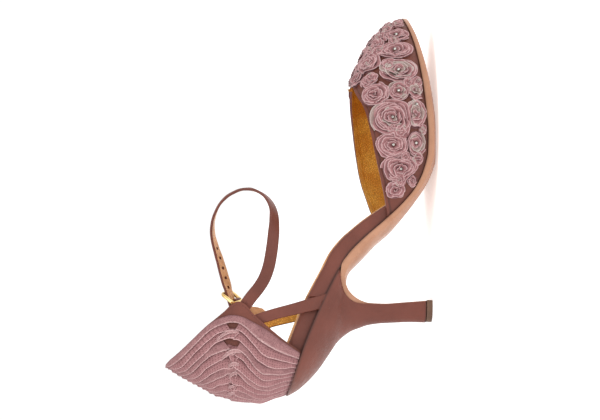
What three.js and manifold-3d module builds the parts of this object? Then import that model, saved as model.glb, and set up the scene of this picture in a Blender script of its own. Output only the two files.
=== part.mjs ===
// High-heeled evening sandal, left shoe: closed pointed toe, open shank, closed heel counter, ankle strap.
// Millimetres. +X points to the toe, +Y to the outer side of the foot, +Z up from the floor at z = 0.
import * as THREE from "three";
import { mergeVertices } from "three/addons/utils/BufferGeometryUtils.js";
import Module from "manifold-3d";

const wasm = await Module();
wasm.setup();

const gap = 0.3; // between pieces that are glued or sewn together
const vampWall = 1.8; // satin, stiffener and leather lining
const counterWall = 1.8;
const pleatRelief = 2.0; // room that the pleats take outside the counter
const pleatStrips = 12; // on each side of the heel
const pleatSeat = 0.55; // between the counter and the pleats
const pleatLow = 0.4;
const pleatHigh = 1.5;
const soleLedge = 0.8; // how far the sole stands out past the vamp
const strapThickness = 1.6;
const strapWidth = 7.2;
const sideStrapThickness = 1.4;
const sockThickness = 0.8;
const topPieceHeight = 3.5;
const roseHeight = 3.0; // of the largest rose
const roseGap = 0.5; // between neighbouring roses
const roseHem = 1.6; // satin left bare between the roses and the sole
const centreX = 116.7; // the middle of the shoe's length, where the part's origin lies
const centreY = 1.25; // and of its width

const finish = {
  satin: { color: 0x9a5f50, roughness: 0.45, metalness: 0 },
  organza: { color: 0xc4959a, roughness: 0.6, metalness: 0 },
  goldLeather: { color: 0xc9892f, roughness: 0.35, metalness: 0.6 },
  soleLeather: { color: 0xcf9a68, roughness: 0.5, metalness: 0 },
  heelTip: { color: 0x8c6e4b, roughness: 0.6, metalness: 0 },
  buckle: { color: 0xe0b860, roughness: 0.25, metalness: 1 },
};

// Where the sole meets the upper: its height, and how far it reaches to the inner and outer side.
const feather = [
  { x: 3, z: 86.5, inner: 25, outer: 25 },
  { x: 30, z: 78.0, inner: 26, outer: 26 },
  { x: 46, z: 71.8, inner: 25.6, outer: 26.2 },
  { x: 61, z: 65.2, inner: 24.4, outer: 25.2 },
  { x: 77.5, z: 56.9, inner: 22.4, outer: 23.6 },
  { x: 86, z: 51.6, inner: 21.8, outer: 23.2 },
  { x: 95.5, z: 42.6, inner: 22.0, outer: 23.6 },
  { x: 107, z: 29.6, inner: 24.2, outer: 26.0 },
  { x: 116, z: 20.2, inner: 27.0, outer: 29.4 },
  { x: 126, z: 12.4, inner: 30.6, outer: 33.8 },
  { x: 136, z: 8.2, inner: 34.2, outer: 37.6 },
  { x: 146, z: 6.3, inner: 36.6, outer: 39.8 },
  { x: 157, z: 6.2, inner: 37.4, outer: 40.0 },
  { x: 170, z: 7.1, inner: 36.0, outer: 37.8 },
  { x: 185, z: 8.3, inner: 32.3, outer: 33.6 },
  { x: 200, z: 10.1, inner: 27.0, outer: 27.8 },
  { x: 212, z: 12.0, inner: 21.2, outer: 21.6 },
  { x: 222, z: 14.2, inner: 14.8, outer: 15.0 },
  { x: 229, z: 16.2, inner: 8.8, outer: 9.0 },
  { x: 232.8, z: 17.4, inner: 4.2, outer: 4.2 },
  { x: 234.6, z: 18.0, inner: 0.8, outer: 0.8 },
];

// The last above the feather line: crown height, its shift to the inner side, and the height of the widest line.
const lastCrown = [
  { x: 100, top: 106, shift: 5, widest: 12 },
  { x: 120, top: 94, shift: 5, widest: 11 },
  { x: 140, top: 80, shift: 5, widest: 10 },
  { x: 155, top: 69, shift: 4, widest: 9 },
  { x: 170, top: 59.5, shift: 3, widest: 8 },
  { x: 183, top: 52.6, shift: 2, widest: 7.5 },
  { x: 192, top: 48.6, shift: 1.5, widest: 7 },
  { x: 202, top: 44.6, shift: 1, widest: 6 },
  { x: 212, top: 40.2, shift: 0.5, widest: 5 },
  { x: 220, top: 35.0, shift: 0, widest: 4.5 },
  { x: 226, top: 30.0, shift: 0, widest: 4 },
  { x: 230.5, top: 25.4, shift: 0, widest: 3 },
  { x: 233.2, top: 21.8, shift: 0, widest: 2 },
  { x: 234.4, top: 19.6, shift: 0, widest: 0.8 },
];

// Side view of the vamp's top edge, from where it meets the sole to the throat.
const topline = [
  { x: 106.4, z: 28.0 },
  { x: 117, z: 33.3 },
  { x: 128, z: 36.7 },
  { x: 139, z: 39.9 },
  { x: 155, z: 43.0 },
  { x: 170, z: 45.6 },
  { x: 183, z: 48.0 },
  { x: 190, z: 49.2 },
  { x: 193, z: 51.0 },
];

// The sole, as lines across its thickness: where each leaves the top, where it ends in the middle of the
// underside, and the share of the thickness that is left at the edge. The last rows run down the heel.
const soleForepart = [
  { x: 86, z: 41.6, edge: 0.5 },
  { x: 95.7, z: 32.6, edge: 0.5 },
  { x: 103, z: 24.5, edge: 0.5 },
  { x: 108, z: 20.1, edge: 0.5 },
  { x: 113.3, z: 15.8, edge: 0.5 },
  { x: 120, z: 10.6, edge: 0.5 },
  { x: 126, z: 6.6, edge: 0.52 },
  { x: 131, z: 3.8, edge: 0.53 },
  { x: 137, z: 1.4, edge: 0.53 },
  { x: 143, z: 0, edge: 0.53 },
  { x: 154, z: 0, edge: 0.53 },
  { x: 165, z: 0, edge: 0.52 },
  { x: 176, z: 0.9, edge: 0.52 },
  { x: 187, z: 2.4, edge: 0.56 },
  { x: 199, z: 4.6, edge: 0.6 },
  { x: 211, z: 7.4, edge: 0.66 },
  { x: 220, z: 10.0, edge: 0.76 },
  { x: 227, z: 12.5, edge: 0.86 },
  { x: 231, z: 13.9, edge: 0.92 },
  { x: 233.6, z: 14.9, edge: 0.96 },
  { x: 234.6, z: 15.4, edge: 1 },
];
const soleDownHeel = [
  { topX: 59.8, topZ: 3.9, x: 61.0, z: 3.8, half: 5.8, edge: 1 },
  { topX: 59.2, topZ: 10, x: 60.5, z: 9.9, half: 5.8, edge: 1 },
  { topX: 58.5, topZ: 18, x: 59.8, z: 18, half: 5.9, edge: 1 },
  { topX: 57.6, topZ: 29, x: 58.9, z: 29, half: 6.3, edge: 1 },
  { topX: 57.6, topZ: 37.8, x: 59.1, z: 38, half: 7.5, edge: 1 },
  { topX: 58.3, topZ: 44.4, x: 60.5, z: 43.4, half: 9.6, edge: 0.95 },
  { topX: 60.4, topZ: 49.6, x: 63.0, z: 47.4, half: 12.4, edge: 0.85 },
  { topX: 64.0, topZ: 53.2, x: 66.2, z: 50.4, half: 15.4, edge: 0.75 },
  { topX: 69.0, topZ: 55.2, x: 70.0, z: 51.9, half: 18.2, edge: 0.65 },
  { topX: 74.0, topZ: 56.2, x: 73.6, z: 51.4, half: 20.6, edge: 0.6 },
  { topX: 79.6, topZ: 55.6, x: 78.4, z: 48.8, half: 22.2, edge: 0.55 },
];

// Level sections of the heel: its rear, its front, half its width, and how far from the rear it is full width.
const heelLevels = [
  { z: 3.9, rear: 48.4, front: 59.4, half: 5.9, run: 8 },
  { z: 12, rear: 48.5, front: 58.7, half: 5.9, run: 8 },
  { z: 22, rear: 48.0, front: 57.8, half: 6.2, run: 8.5 },
  { z: 31, rear: 47.4, front: 57.2, half: 6.7, run: 9 },
  { z: 38, rear: 46.3, front: 57.3, half: 7.8, run: 10.4 },
  { z: 44, rear: 44.2, front: 57.9, half: 9.7, run: 13.0 },
  { z: 48, rear: 42.6, front: 59.3, half: 11.6, run: 15.8 },
  { z: 51, rear: 40.6, front: 61.3, half: 13.8, run: 19.8 },
  { z: 53.4, rear: 38.7, front: 63.9, half: 15.8, run: 24 },
  { z: 55.2, rear: 37.0, front: 68.6, half: 18.4, run: 30.4 },
  { z: 56.4, rear: 35.7, front: 75.0, half: 21.4, run: 37 },
  { z: 57.6, rear: 34.0, front: 79, half: 22.6, run: 38 },
  { z: 62, rear: 27.2, front: 79, half: 24.0, run: 38 },
  { z: 68, rear: 18.6, front: 79, half: 25.6, run: 34 },
  { z: 74, rear: 12.0, front: 79, half: 26.6, run: 30 },
  { z: 80, rear: 6.8, front: 79, half: 26.8, run: 27 },
  { z: 86.6, rear: 3.2, front: 79, half: 26.8, run: 27 },
  { z: 90, rear: 2.0, front: 79, half: 26.8, run: 27 },
];

// Level sections around the back of the foot, outside the pleats.
const rearLevels = [
  { z: 66, rear: 12, half: 26.0, run: 26 },
  { z: 78, rear: 7.4, half: 26.4, run: 27 },
  { z: 86, rear: 4.3, half: 27.0, run: 28 },
  { z: 94, rear: 1.3, half: 28.2, run: 30 },
  { z: 102, rear: -1.2, half: 29.0, run: 32 },
  { z: 111, rear: -0.8, half: 28.6, run: 32 },
  { z: 119, rear: 1.0, half: 27.4, run: 32 },
  { z: 127, rear: 2.9, half: 25.6, run: 31 },
  { z: 135, rear: 7.2, half: 23.4, run: 29 },
  { z: 145, rear: 12.4, half: 20.6, run: 27 },
  { z: 152, rear: 16.4, half: 18.6, run: 25 },
  { z: 158, rear: 20.4, half: 17.0, run: 24 },
];

// Side view of the counter's front and top edge, and of the front edge of its pleats.
const counterEdge = [
  { z: 78.0, x: 27.2, pleats: 26.2 },
  { z: 90, x: 35.3, pleats: 33.6 },
  { z: 101.5, x: 44.5, pleats: 41.4 },
  { z: 107, x: 49.3, pleats: 44.3 },
  { z: 112, x: 55.0, pleats: 46.9 },
  { z: 116, x: 56.6, pleats: 48.2 },
  { z: 120, x: 54.6, pleats: 48.6 },
  { z: 124, x: 50.8, pleats: 47.6 },
  { z: 129, x: 46.6, pleats: 45.7 },
  { z: 134, x: 42.6, pleats: 42.2 },
  { z: 142, x: 34.8, pleats: 34.6 },
  { z: 150, x: 27.4, pleats: 27.3 },
  { z: 157.4, x: 21.6, pleats: 21.6 },
];
const counterRows = [
  { back: 86.4, front: 78.4 },
  { back: 93, front: 86 },
  { back: 101, front: 95 },
  { back: 108, front: 103 },
  { back: 114, front: 110 },
  { back: 119, front: 116 },
  { back: 124, front: 121 },
  { back: 130, front: 127 },
  { back: 138, front: 135 },
  { back: 146, front: 144 },
  { back: 151, front: 150.5 },
  { back: 154, front: 153.6 },
  { back: 156.4, front: 156.4 },
];
const pleatBend = 118; // height of the line where every pleat turns

// The satin-wrapped insole: thickness, and how far its side lies inside the sole's edge.
const insoleBody = [
  { x: 10, thick: 8.2, inset: 1.2 },
  { x: 46, thick: 9.2, inset: 1.2 },
  { x: 61, thick: 9.6, inset: 1.2 },
  { x: 78, thick: 9.4, inset: 1.0 },
  { x: 88, thick: 11.0, inset: 1.0 },
  { x: 97, thick: 12.4, inset: 1.4 },
  { x: 104, thick: 12.4, inset: 2.4 },
  { x: 110, thick: 11.2, inset: 3.1 },
  { x: 118, thick: 7.4, inset: 3.1 },
  { x: 128, thick: 4.0, inset: 3.1 },
  { x: 140, thick: 3.0, inset: 3.1 },
  { x: 229, thick: 3.0, inset: 3.1 },
];

// Ribbon roses on each side of the vamp: their place along the shoe, the distance up the side from the sole,
// and half their size along and across.
const sideRoses = [
  { x: 219, up: 9.4, along: 4.8, across: 7.2 },
  { x: 208.4, up: 12.8, along: 5.8, across: 10.2 },
  { x: 213.5, up: 23.5, along: 6.2, across: 6.0 },
  { x: 194.6, up: 13.4, along: 7.6, across: 11.2 },
  { x: 201, up: 31.5, along: 6.6, across: 8.0 },
  { x: 192, up: 42.5, along: 5.0, across: 5.6 },
  { x: 188.4, up: 32.6, along: 4.8, across: 5.0 },
  { x: 179.6, up: 29.4, along: 7.6, across: 8.6 },
  { x: 181.2, up: 15.2, along: 6.0, across: 6.4 },
  { x: 181.6, up: 5.6, along: 6.0, across: 4.4 },
  { x: 164.6, up: 20.4, along: 10.4, across: 12.8 },
  { x: 167, up: 6.9, along: 8.8, across: 5.6 },
  { x: 148.6, up: 20.4, along: 7.0, across: 10.2 },
  { x: 149.8, up: 7.2, along: 7.2, across: 5.4 },
  { x: 135.2, up: 13.6, along: 8.0, across: 10.4 },
  { x: 129, up: 4.4, along: 3.2, across: 3.0 },
  { x: 123.4, up: 10.6, along: 5.2, across: 5.4 },
];

// Roses across the middle of the toe.
const toeRoses = [
  { x: 198.2, along: 6.4, across: 12.4 },
  { x: 209.4, along: 5.6, across: 11.4 },
  { x: 219.4, along: 5.2, across: 10.0 },
  { x: 227.6, along: 3.8, across: 8.4 },
];

// Shape of a rose, from its base to the dip in its middle: share of its reach, and of its height.
const roseShape = [
  { reach: 1, height: 0 },
  { reach: 0.97, height: 0.62 },
  { reach: 0.66, height: 1 },
];
const roseDip = 0.5;

// Route of the ankle strap, inner side to outer side. Lean turns the strap's width away from +Y.
const ankleRoute = [
  { x: 45.5, y: -22.2, z: 116.6, lean: 84 },
  { x: 51.6, y: -22.8, z: 113.6, lean: 85 },
  { x: 58.0, y: -24.2, z: 109.5, lean: 87 },
  { x: 64.2, y: -26.3, z: 104.6, lean: 89 },
  { x: 69.7, y: -27.4, z: 101.2, lean: 91 },
  { x: 76.7, y: -28.2, z: 98.7, lean: 94 },
  { x: 85.5, y: -27.9, z: 97.1, lean: 99 },
  { x: 95.3, y: -25.4, z: 96.0, lean: 108 },
  { x: 104.2, y: -21.8, z: 95.4, lean: 126 },
  { x: 112.1, y: -16.5, z: 95.8, lean: 144 },
  { x: 119.8, y: -9.0, z: 98.8, lean: 157 },
  { x: 125.0, y: -2.0, z: 103.9, lean: 168 },
  { x: 128.0, y: 5.0, z: 111.4, lean: 178 },
  { x: 126.9, y: 11.0, z: 118.6, lean: 185 },
  { x: 123.4, y: 15.6, z: 124.6, lean: 191 },
  { x: 118.4, y: 19.4, z: 128.5, lean: 197 },
  { x: 110.9, y: 23.2, z: 131.1, lean: 203 },
  { x: 103.3, y: 25.8, z: 131.2, lean: 207 },
  { x: 95.5, y: 27.4, z: 129.2, lean: 211 },
  { x: 87.7, y: 28.3, z: 126.6, lean: 216 },
  { x: 79.6, y: 28.5, z: 124.2, lean: 220 },
  { x: 73.6, y: 28.1, z: 122.4, lean: 222 },
];
// The free end of the strap, past the buckle, on the outer side of the counter.
const tailRoute = [
  { x: 56.2, y: 29.7, z: 113.8, lean: 252, width: 7.2 },
  { x: 53.6, y: 29.6, z: 110.6, lean: 264, width: 7.2 },
  { x: 51.2, y: 29.6, z: 107.6, lean: 270, width: 6.2 },
  { x: 50.2, y: 29.6, z: 106.4, lean: 270, width: 4.0 },
];

const buckle = {
  centre: [64.8, 27.4, 118.9],
  forward: [0.62, 0.3, 0.725], // from the counter towards the toe end of the strap
  across: [-0.27, -0.8, 0.54],
  length: 10.4,
  width: 11.2,
  bar: 1.5,
  thick: 1.4,
};

// The end of the short buckle strap, inside the counter's outer tip.
const buckleStrapRoot = [
  [55.0, 23.0, 111.8],
  [50.0, 22.6, 112.6],
];

const vector = (p) => new THREE.Vector3(...p);

// A smooth curve through one column of a table, without overshoot.
function along(rows, key, column) {
  const xs = rows.map((r) => r[key]);
  const ys = rows.map((r) => r[column]);
  const steps = xs.slice(1).map((x, i) => (ys[i + 1] - ys[i]) / (x - xs[i]));
  const slopes = ys.map((_, i) => {
    if (i === 0) return steps[0];
    if (i === ys.length - 1) return steps[i - 1];
    return steps[i - 1] * steps[i] <= 0 ? 0 : (2 * steps[i - 1] * steps[i]) / (steps[i - 1] + steps[i]);
  });
  return (x) => {
    if (x <= xs[0]) return ys[0];
    if (x >= xs.at(-1)) return ys.at(-1);
    const i = xs.findIndex((v) => v > x) - 1;
    const h = xs[i + 1] - xs[i];
    const t = (x - xs[i]) / h;
    const a = (1 + 2 * t) * (1 - t) ** 2 * ys[i] + t * (1 - t) ** 2 * h * slopes[i];
    return a + t * t * (3 - 2 * t) * ys[i + 1] + t * t * (t - 1) * h * slopes[i + 1];
  };
}

const featherZ = along(feather, "x", "z");
const featherInner = along(feather, "x", "inner");
const featherOuter = along(feather, "x", "outer");
const crownTop = along(lastCrown, "x", "top");
const crownShift = along(lastCrown, "x", "shift");
const crownWidest = along(lastCrown, "x", "widest");
const rearOf = along(rearLevels, "z", "rear");
const rearHalf = along(rearLevels, "z", "half");
const rearRun = along(rearLevels, "z", "run");
const counterFront = along(counterEdge, "z", "x");
const pleatFront = along(counterEdge, "z", "pleats");

// Indexed geometry from points and triangles, turned so that its faces point out.
function body(points, triangles) {
  const g = new THREE.BufferGeometry();
  g.setAttribute("position", new THREE.Float32BufferAttribute(points.flat(), 3));
  const corners = triangles.map((t) => t.map((i) => new THREE.Vector3(...points[i])));
  const volume = corners.reduce((sum, [a, b, c]) => sum + a.dot(b.clone().cross(c)), 0);
  g.setIndex((volume < 0 ? triangles.map(([a, b, c]) => [a, c, b]) : triangles).flat());
  return g;
}

// A closed solid through rings with the same number of points, its two ends closed by a fan.
function loft(rings) {
  const n = rings[0].length;
  const points = rings.flat();
  const triangles = [];
  for (let r = 0; r + 1 < rings.length; r++)
    for (let i = 0; i < n; i++) {
      const a = r * n + i;
      const b = r * n + ((i + 1) % n);
      triangles.push([a, b, b + n], [a, b + n, a + n]);
    }
  for (const [ring, start, turned] of [
    [rings[0], 0, true],
    [rings.at(-1), (rings.length - 1) * n, false],
  ]) {
    points.push([0, 1, 2].map((k) => ring.reduce((sum, p) => sum + p[k], 0) / n));
    const hub = points.length - 1;
    for (let i = 0; i < n; i++) {
      const edge = [start + i, start + ((i + 1) % n)];
      triangles.push(turned ? [edge[1], edge[0], hub] : [edge[0], edge[1], hub]);
    }
  }
  return body(points, triangles);
}

// A closed wall between two grids of points that have the same rows and columns.
function wall(outside, inside) {
  const rows = outside.length;
  const cols = outside[0].length;
  const points = [...outside.flat(), ...inside.flat()];
  const back = rows * cols;
  const triangles = [];
  const quad = (a, b, c, d) => triangles.push([a, b, c], [a, c, d]);
  for (let r = 0; r + 1 < rows; r++)
    for (let c = 0; c + 1 < cols; c++) {
      const a = r * cols + c;
      quad(a, a + 1, a + cols + 1, a + cols);
      quad(back + a, back + a + cols, back + a + cols + 1, back + a + 1);
    }
  const last = (rows - 1) * cols;
  for (let c = 0; c + 1 < cols; c++) {
    quad(c + 1, c, back + c, back + c + 1);
    quad(last + c, last + c + 1, back + last + c + 1, back + last + c);
  }
  for (let r = 0; r + 1 < rows; r++) {
    const a = r * cols;
    const b = a + cols - 1;
    quad(a, a + cols, back + a + cols, back + a);
    quad(b + cols, b, back + b, back + b + cols);
  }
  return body(points, triangles);
}

// Geometry to a manifold solid, and back.
function solidOf(geometry) {
  const plain = geometry.clone();
  plain.deleteAttribute("normal");
  plain.deleteAttribute("uv");
  const merged = mergeVertices(plain, 1e-4);
  return new wasm.Manifold(
    new wasm.Mesh({
      numProp: 3,
      vertProperties: new Float32Array(merged.attributes.position.array),
      triVerts: new Uint32Array(merged.index.array),
    }),
  );
}

function geometryOf(solid) {
  const mesh = solid.getMesh();
  const g = new THREE.BufferGeometry();
  g.setAttribute("position", new THREE.BufferAttribute(mesh.vertProperties, 3));
  g.setIndex(new THREE.BufferAttribute(mesh.triVerts, 1));
  return g;
}

// A side-view outline of [x, z] corners, carried right across the shoe.
function acrossShoe(corners) {
  const reach = 60;
  const shape = new THREE.Shape(corners.map(([x, z]) => new THREE.Vector2(x, z)));
  const g = new THREE.ExtrudeGeometry(shape, { depth: 2 * reach, bevelEnabled: false, steps: 1 });
  return solidOf(g.rotateX(Math.PI / 2).translate(0, reach, 0));
}

function piece(name, geometry, look) {
  const mesh = new THREE.Mesh(geometry, new THREE.MeshStandardMaterial(finish[look]));
  mesh.name = name;
  return mesh;
}

// A point on the last's surface, less an inward offset. Around runs 0 to 1 from the inner feather edge over
// the crown to the outer one.
const sideShare = 0.1; // share of the way round below the widest line, on each side
const crownRoundness = 2.3;
function lastPoint(x, around, inward = 0) {
  const outer = around > 0.5;
  const way = outer ? 1 - around : around;
  const edge = (outer ? featherOuter(x) : featherInner(x)) - soleLedge;
  const bulge = Math.min(1, edge / 8);
  const base = featherZ(x) + gap;
  const widestZ = base + crownWidest(x);
  const half = Math.max(edge + bulge - inward, 0.3);
  const sign = outer ? 1 : -1;
  if (way <= sideShare) {
    const t = way / sideShare;
    return [x, sign * (half - bulge * (1 - t) ** 2), base + (widestZ - base) * t];
  }
  const angle = (((way - sideShare) / (0.5 - sideShare)) * Math.PI) / 2;
  const ridge = -crownShift(x);
  const rise = Math.max(crownTop(x) - inward - widestZ, 0.5);
  const y = ridge + (sign * half - ridge) * Math.cos(angle) ** (2 / crownRoundness);
  return [x, y, widestZ + rise * Math.sin(angle) ** (2 / crownRoundness)];
}

const lastStations = [
  98, 104, 110, 117, 124, 132, 140, 149, 158, 166, 174, 181, 187, 192, 197, 203, 209, 214.5, 219.5, 224, 227.5,
  230.3, 232.4, 233.7, 234.4,
];
const aroundSteps = [0, 0.05, 0.1, 0.15, 0.2, 0.25, 0.3, 0.35, 0.4, 0.45, 0.5];
const aroundRing = [...aroundSteps, ...aroundSteps.slice(0, -1).reverse().map((a) => 1 - a)];

function lastSolid(inward, stations, drop) {
  return solidOf(
    loft(
      stations.map((x) => {
        const ring = aroundRing.map((a) => lastPoint(x, a, inward));
        const [first, end] = [ring[0], ring.at(-1)];
        return [[x, first[1], first[2] - drop], ...ring, [x, end[1], end[2] - drop]];
      }),
    ),
  );
}

function makeVamp() {
  const below = 4; // the hollow runs this far past the bottom edge, so that the vamp is open underneath
  const inside = lastStations.filter((x) => x < 232);
  const shell = lastSolid(0, lastStations, 0.01).subtract(
    lastSolid(vampWall, [lastStations[0] - 5, ...inside, 232.4], below),
  );
  const edge = topline.map((p) => [p.x, p.z]);
  const cut = acrossShoe([[90, 20], [106, 20], ...edge, [194.5, 54], [194.5, 140], [90, 140]]);
  return geometryOf(shell.subtract(cut));
}

// Ring of the sole at one line across its thickness: flat top, and an underside that is flat in the middle.
const underside = [-1, -0.78, -0.6, -0.42, 0, 0.42, 0.6, 0.78, 1];
const undersideCurve = 2.2;
function soleRing(top, bottom, edgeShare, inner, outer) {
  const flat = 0.42;
  const under = underside.map((u) => {
    const lift = Math.max(0, (Math.abs(u) - flat) / (1 - flat)) ** undersideCurve * (1 - edgeShare);
    const [x, z] = [0, 1].map((k) => bottom[k] + (top[k] - bottom[k]) * lift);
    return [x, u < 0 ? u * inner : u * outer, z];
  });
  return [[top[0], outer, top[1]], [top[0], 0, top[1]], [top[0], -inner, top[1]], ...under];
}

function makeOutsole() {
  const downHeel = soleDownHeel.map((r) => soleRing([r.topX, r.topZ], [r.x, r.z], r.edge, r.half, r.half));
  const forepart = soleForepart.map((r) =>
    soleRing([r.x, featherZ(r.x)], [r.x, r.z], r.edge, featherInner(r.x), featherOuter(r.x)),
  );
  return loft([...downHeel, ...forepart]);
}

// Half a level section: y at a distance behind the front of a curve that is round at the rear.
const rearRoundness = 2.2;
function levelHalf(distance, half, run) {
  if (distance <= 0) return 0;
  if (distance >= run) return half;
  return half * (1 - (1 - distance / run) ** rearRoundness) ** (1 / rearRoundness);
}

function heelRing({ z, rear, front, half, run }) {
  const shares = [0, 0.03, 0.12, 0.26, 0.45, 0.7, 1];
  const side = shares.map((s) => [rear + run * s, levelHalf(run * s, half, run)]);
  side.push([Math.max(front, rear + run + 0.01), half]);
  const outer = side.map(([x, y]) => [x, y, z]);
  const inner = side.slice(1).map(([x, y]) => [x, -y, z]).reverse();
  return [...outer, ...inner];
}

function makeHeel() {
  const seat = [3, 20, 30, 38, 46, 54, 61, 69, 77.5, 80].map((x) => [x, featherZ(x) - gap]);
  const above = acrossShoe([[-10, 90], [-10, seat[0][1]], ...seat, [90, 50], [90, 110], [-10, 110]]);
  return geometryOf(solidOf(loft(heelLevels.map(heelRing))).subtract(above));
}

function makeTopPiece() {
  const level = (z, grow) =>
    heelRing({ z, rear: 48.7 - grow, front: 61.3 + grow, half: 6.1 + grow, run: 8.4 });
  return loft([level(0, -0.3), level(0.6, 0), level(topPieceHeight, 0)]);
}

// A point on the outside of the heel, a given distance round from the rear middle line at height z.
function rearCurve(z, inward) {
  const rear = rearOf(z) + inward;
  const half = rearHalf(z) - inward;
  const run = rearRun(z) - inward * 0.4;
  const curve = [[rear, 0]];
  for (let i = 1; i <= 14; i++) {
    const distance = run * (i / 14) ** 2;
    curve.push([rear + distance, levelHalf(distance, half, run)]);
  }
  curve.push([rear + 90, half]);
  return curve;
}

function walk(curve, length) {
  let left = length;
  for (let i = 1; i < curve.length; i++) {
    const [dx, dy] = [curve[i][0] - curve[i - 1][0], curve[i][1] - curve[i - 1][1]];
    const step = Math.hypot(dx, dy);
    if (left <= step) return [curve[i - 1][0] + (dx * left) / step, curve[i - 1][1] + (dy * left) / step];
    left -= step;
  }
  return curve.at(-1);
}

function lengthTo(curve, x) {
  let total = 0;
  for (let i = 1; i < curve.length; i++) {
    const [a, b] = [curve[i - 1], curve[i]];
    const share = Math.min(1, Math.max(0, (x - a[0]) / (b[0] - a[0])));
    total += Math.hypot(b[0] - a[0], b[1] - a[1]) * share;
    if (share < 1) break;
  }
  return total;
}

function makeCounter() {
  const columns = 13;
  const grid = (inward) =>
    counterRows.map((row, r) => {
      const points = [];
      for (let c = -columns; c <= columns; c++) {
        const share = Math.abs(c) / columns;
        const place = (z) => {
          const curve = rearCurve(z, inward);
          return walk(curve, lengthTo(curve, counterFront(z)) * share);
        };
        const level = row.back + (row.front - row.back) * share ** 1.5;
        const z = r === 0 ? seatLevel(place) : level;
        const [x, y] = place(z);
        points.push([x, Math.sign(c) * y, z]);
      }
      return points;
    });
  return wall(grid(pleatRelief), grid(pleatRelief + counterWall));
}

// Height at which a line down the back of the shoe reaches the heel seat.
function seatLevel(place) {
  let z = 82;
  for (let i = 0; i < 8; i++) z = featherZ(place(z)[0]) + gap;
  return z;
}

// Pleats: strips that climb from the heel seat, turn at one height and run up to the rear middle line.
function pleatPoint(strip, rise, inward) {
  const bendCurve = rearCurve(pleatBend, inward);
  const bendLength = lengthTo(bendCurve, pleatFront(pleatBend));
  const share = strip / pleatStrips;
  if (rise <= 1) {
    const place = (z) => {
      const curve = rearCurve(z, inward);
      return walk(curve, lengthTo(curve, pleatFront(z)) * (1 - share));
    };
    const foot = seatLevel(place) + gap;
    const z = foot + (pleatBend - foot) * rise;
    return [...place(z), z];
  }
  const behind = bendLength * share;
  let [low, high] = [pleatBend, 157.2];
  for (let i = 0; i < 24; i++) {
    const mid = (low + high) / 2;
    if (lengthTo(rearCurve(mid, inward), pleatFront(mid)) > behind) low = mid;
    else high = mid;
  }
  const t = rise - 1;
  const z = pleatBend + (low - pleatBend) * (1 - (1 - t) ** 1.6);
  const curve = rearCurve(z, inward);
  const [x, y] = walk(curve, Math.max(0, lengthTo(curve, pleatFront(z)) - behind));
  return [x, t >= 1 ? 0 : y, z];
}

const pleatRises = [0, 0.2, 0.4, 0.55, 0.75, 1, 1.13, 1.26, 1.39, 1.52, 1.64, 1.76, 1.88, 2];

function makePleats(side) {
  const lines = [];
  for (let strip = 0; strip < pleatStrips; strip++)
    lines.push({ strip: strip + 0.001, thick: pleatLow }, { strip: strip + 0.86, thick: pleatHigh });
  lines.push({ strip: pleatStrips - 0.02, thick: pleatLow });
  const middle = 0.15; // half the slit between the two sides
  const grid = (thickness) =>
    lines.map((line) =>
      pleatRises.map((rise) => {
        const [x, y, z] = pleatPoint(line.strip, rise, pleatRelief - pleatSeat - thickness(line));
        return [x, side * Math.max(y, middle), z];
      }),
    );
  return wall(grid((line) => line.thick), grid(() => 0));
}

// A point on the vamp, a distance up its side from the sole, or for side 0 across from its middle line.
function vampPoint(x, up, side) {
  const steps = 60;
  const line = Array.from({ length: steps + 1 }, (_, i) => lastPoint(x, i / steps).slice(1));
  if (side > 0) line.reverse();
  const whole = line.reduce((sum, [y, z], i) => sum + (i ? Math.hypot(y - line[i - 1][0], z - line[i - 1][1]) : 0), 0);
  const [y, z] = walk(line, side === 0 ? whole / 2 + up : up);
  return new THREE.Vector3(x, y, z);
}

// The vamp's surface at a point: the point, square directions along and round the foot, the normal, and what
// a millimetre along changes in x and in the distance up.
function vampFrame(x, up, side) {
  const step = 0.5;
  const at = vampPoint(x, up, side);
  const round = vampPoint(x, up + step, side).sub(at).normalize();
  const ahead = vampPoint(x + step, up, side).sub(at);
  const rise = ahead.dot(round);
  const fore = ahead.addScaledVector(round, -rise);
  const [stride, drift] = [step / fore.length(), -rise / fore.length()];
  fore.normalize();
  const normal = fore.clone().cross(round).multiplyScalar(side > 0 ? -1 : 1);
  return { at, fore, round, normal, stride, drift };
}

const roseReach = (rose, angle) => 1 / Math.hypot(Math.cos(angle) / rose.along, Math.sin(angle) / rose.across);

// How far a rose reaches at an angle, cut back where a neighbour or the sole is near.
function roseEdge(rose, all, angle) {
  let reach = roseReach(rose, angle);
  const down = -Math.sin(angle);
  if (rose.side !== 0 && down > 0) reach = Math.min(reach, (rose.up - roseHem) / down);
  for (const other of all) {
    if (other === rose) continue;
    const apart = other.at.clone().sub(rose.at);
    const way = Math.atan2(apart.dot(rose.round), apart.dot(rose.fore));
    const back = Math.atan2(-apart.dot(other.round), -apart.dot(other.fore));
    const own = roseReach(rose, way);
    const share = own / (own + roseReach(other, back));
    const facing = Math.cos(angle - way);
    if (facing > 0.15) reach = Math.min(reach, (apart.length() * share - roseGap / 2) / facing);
  }
  return reach;
}

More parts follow.
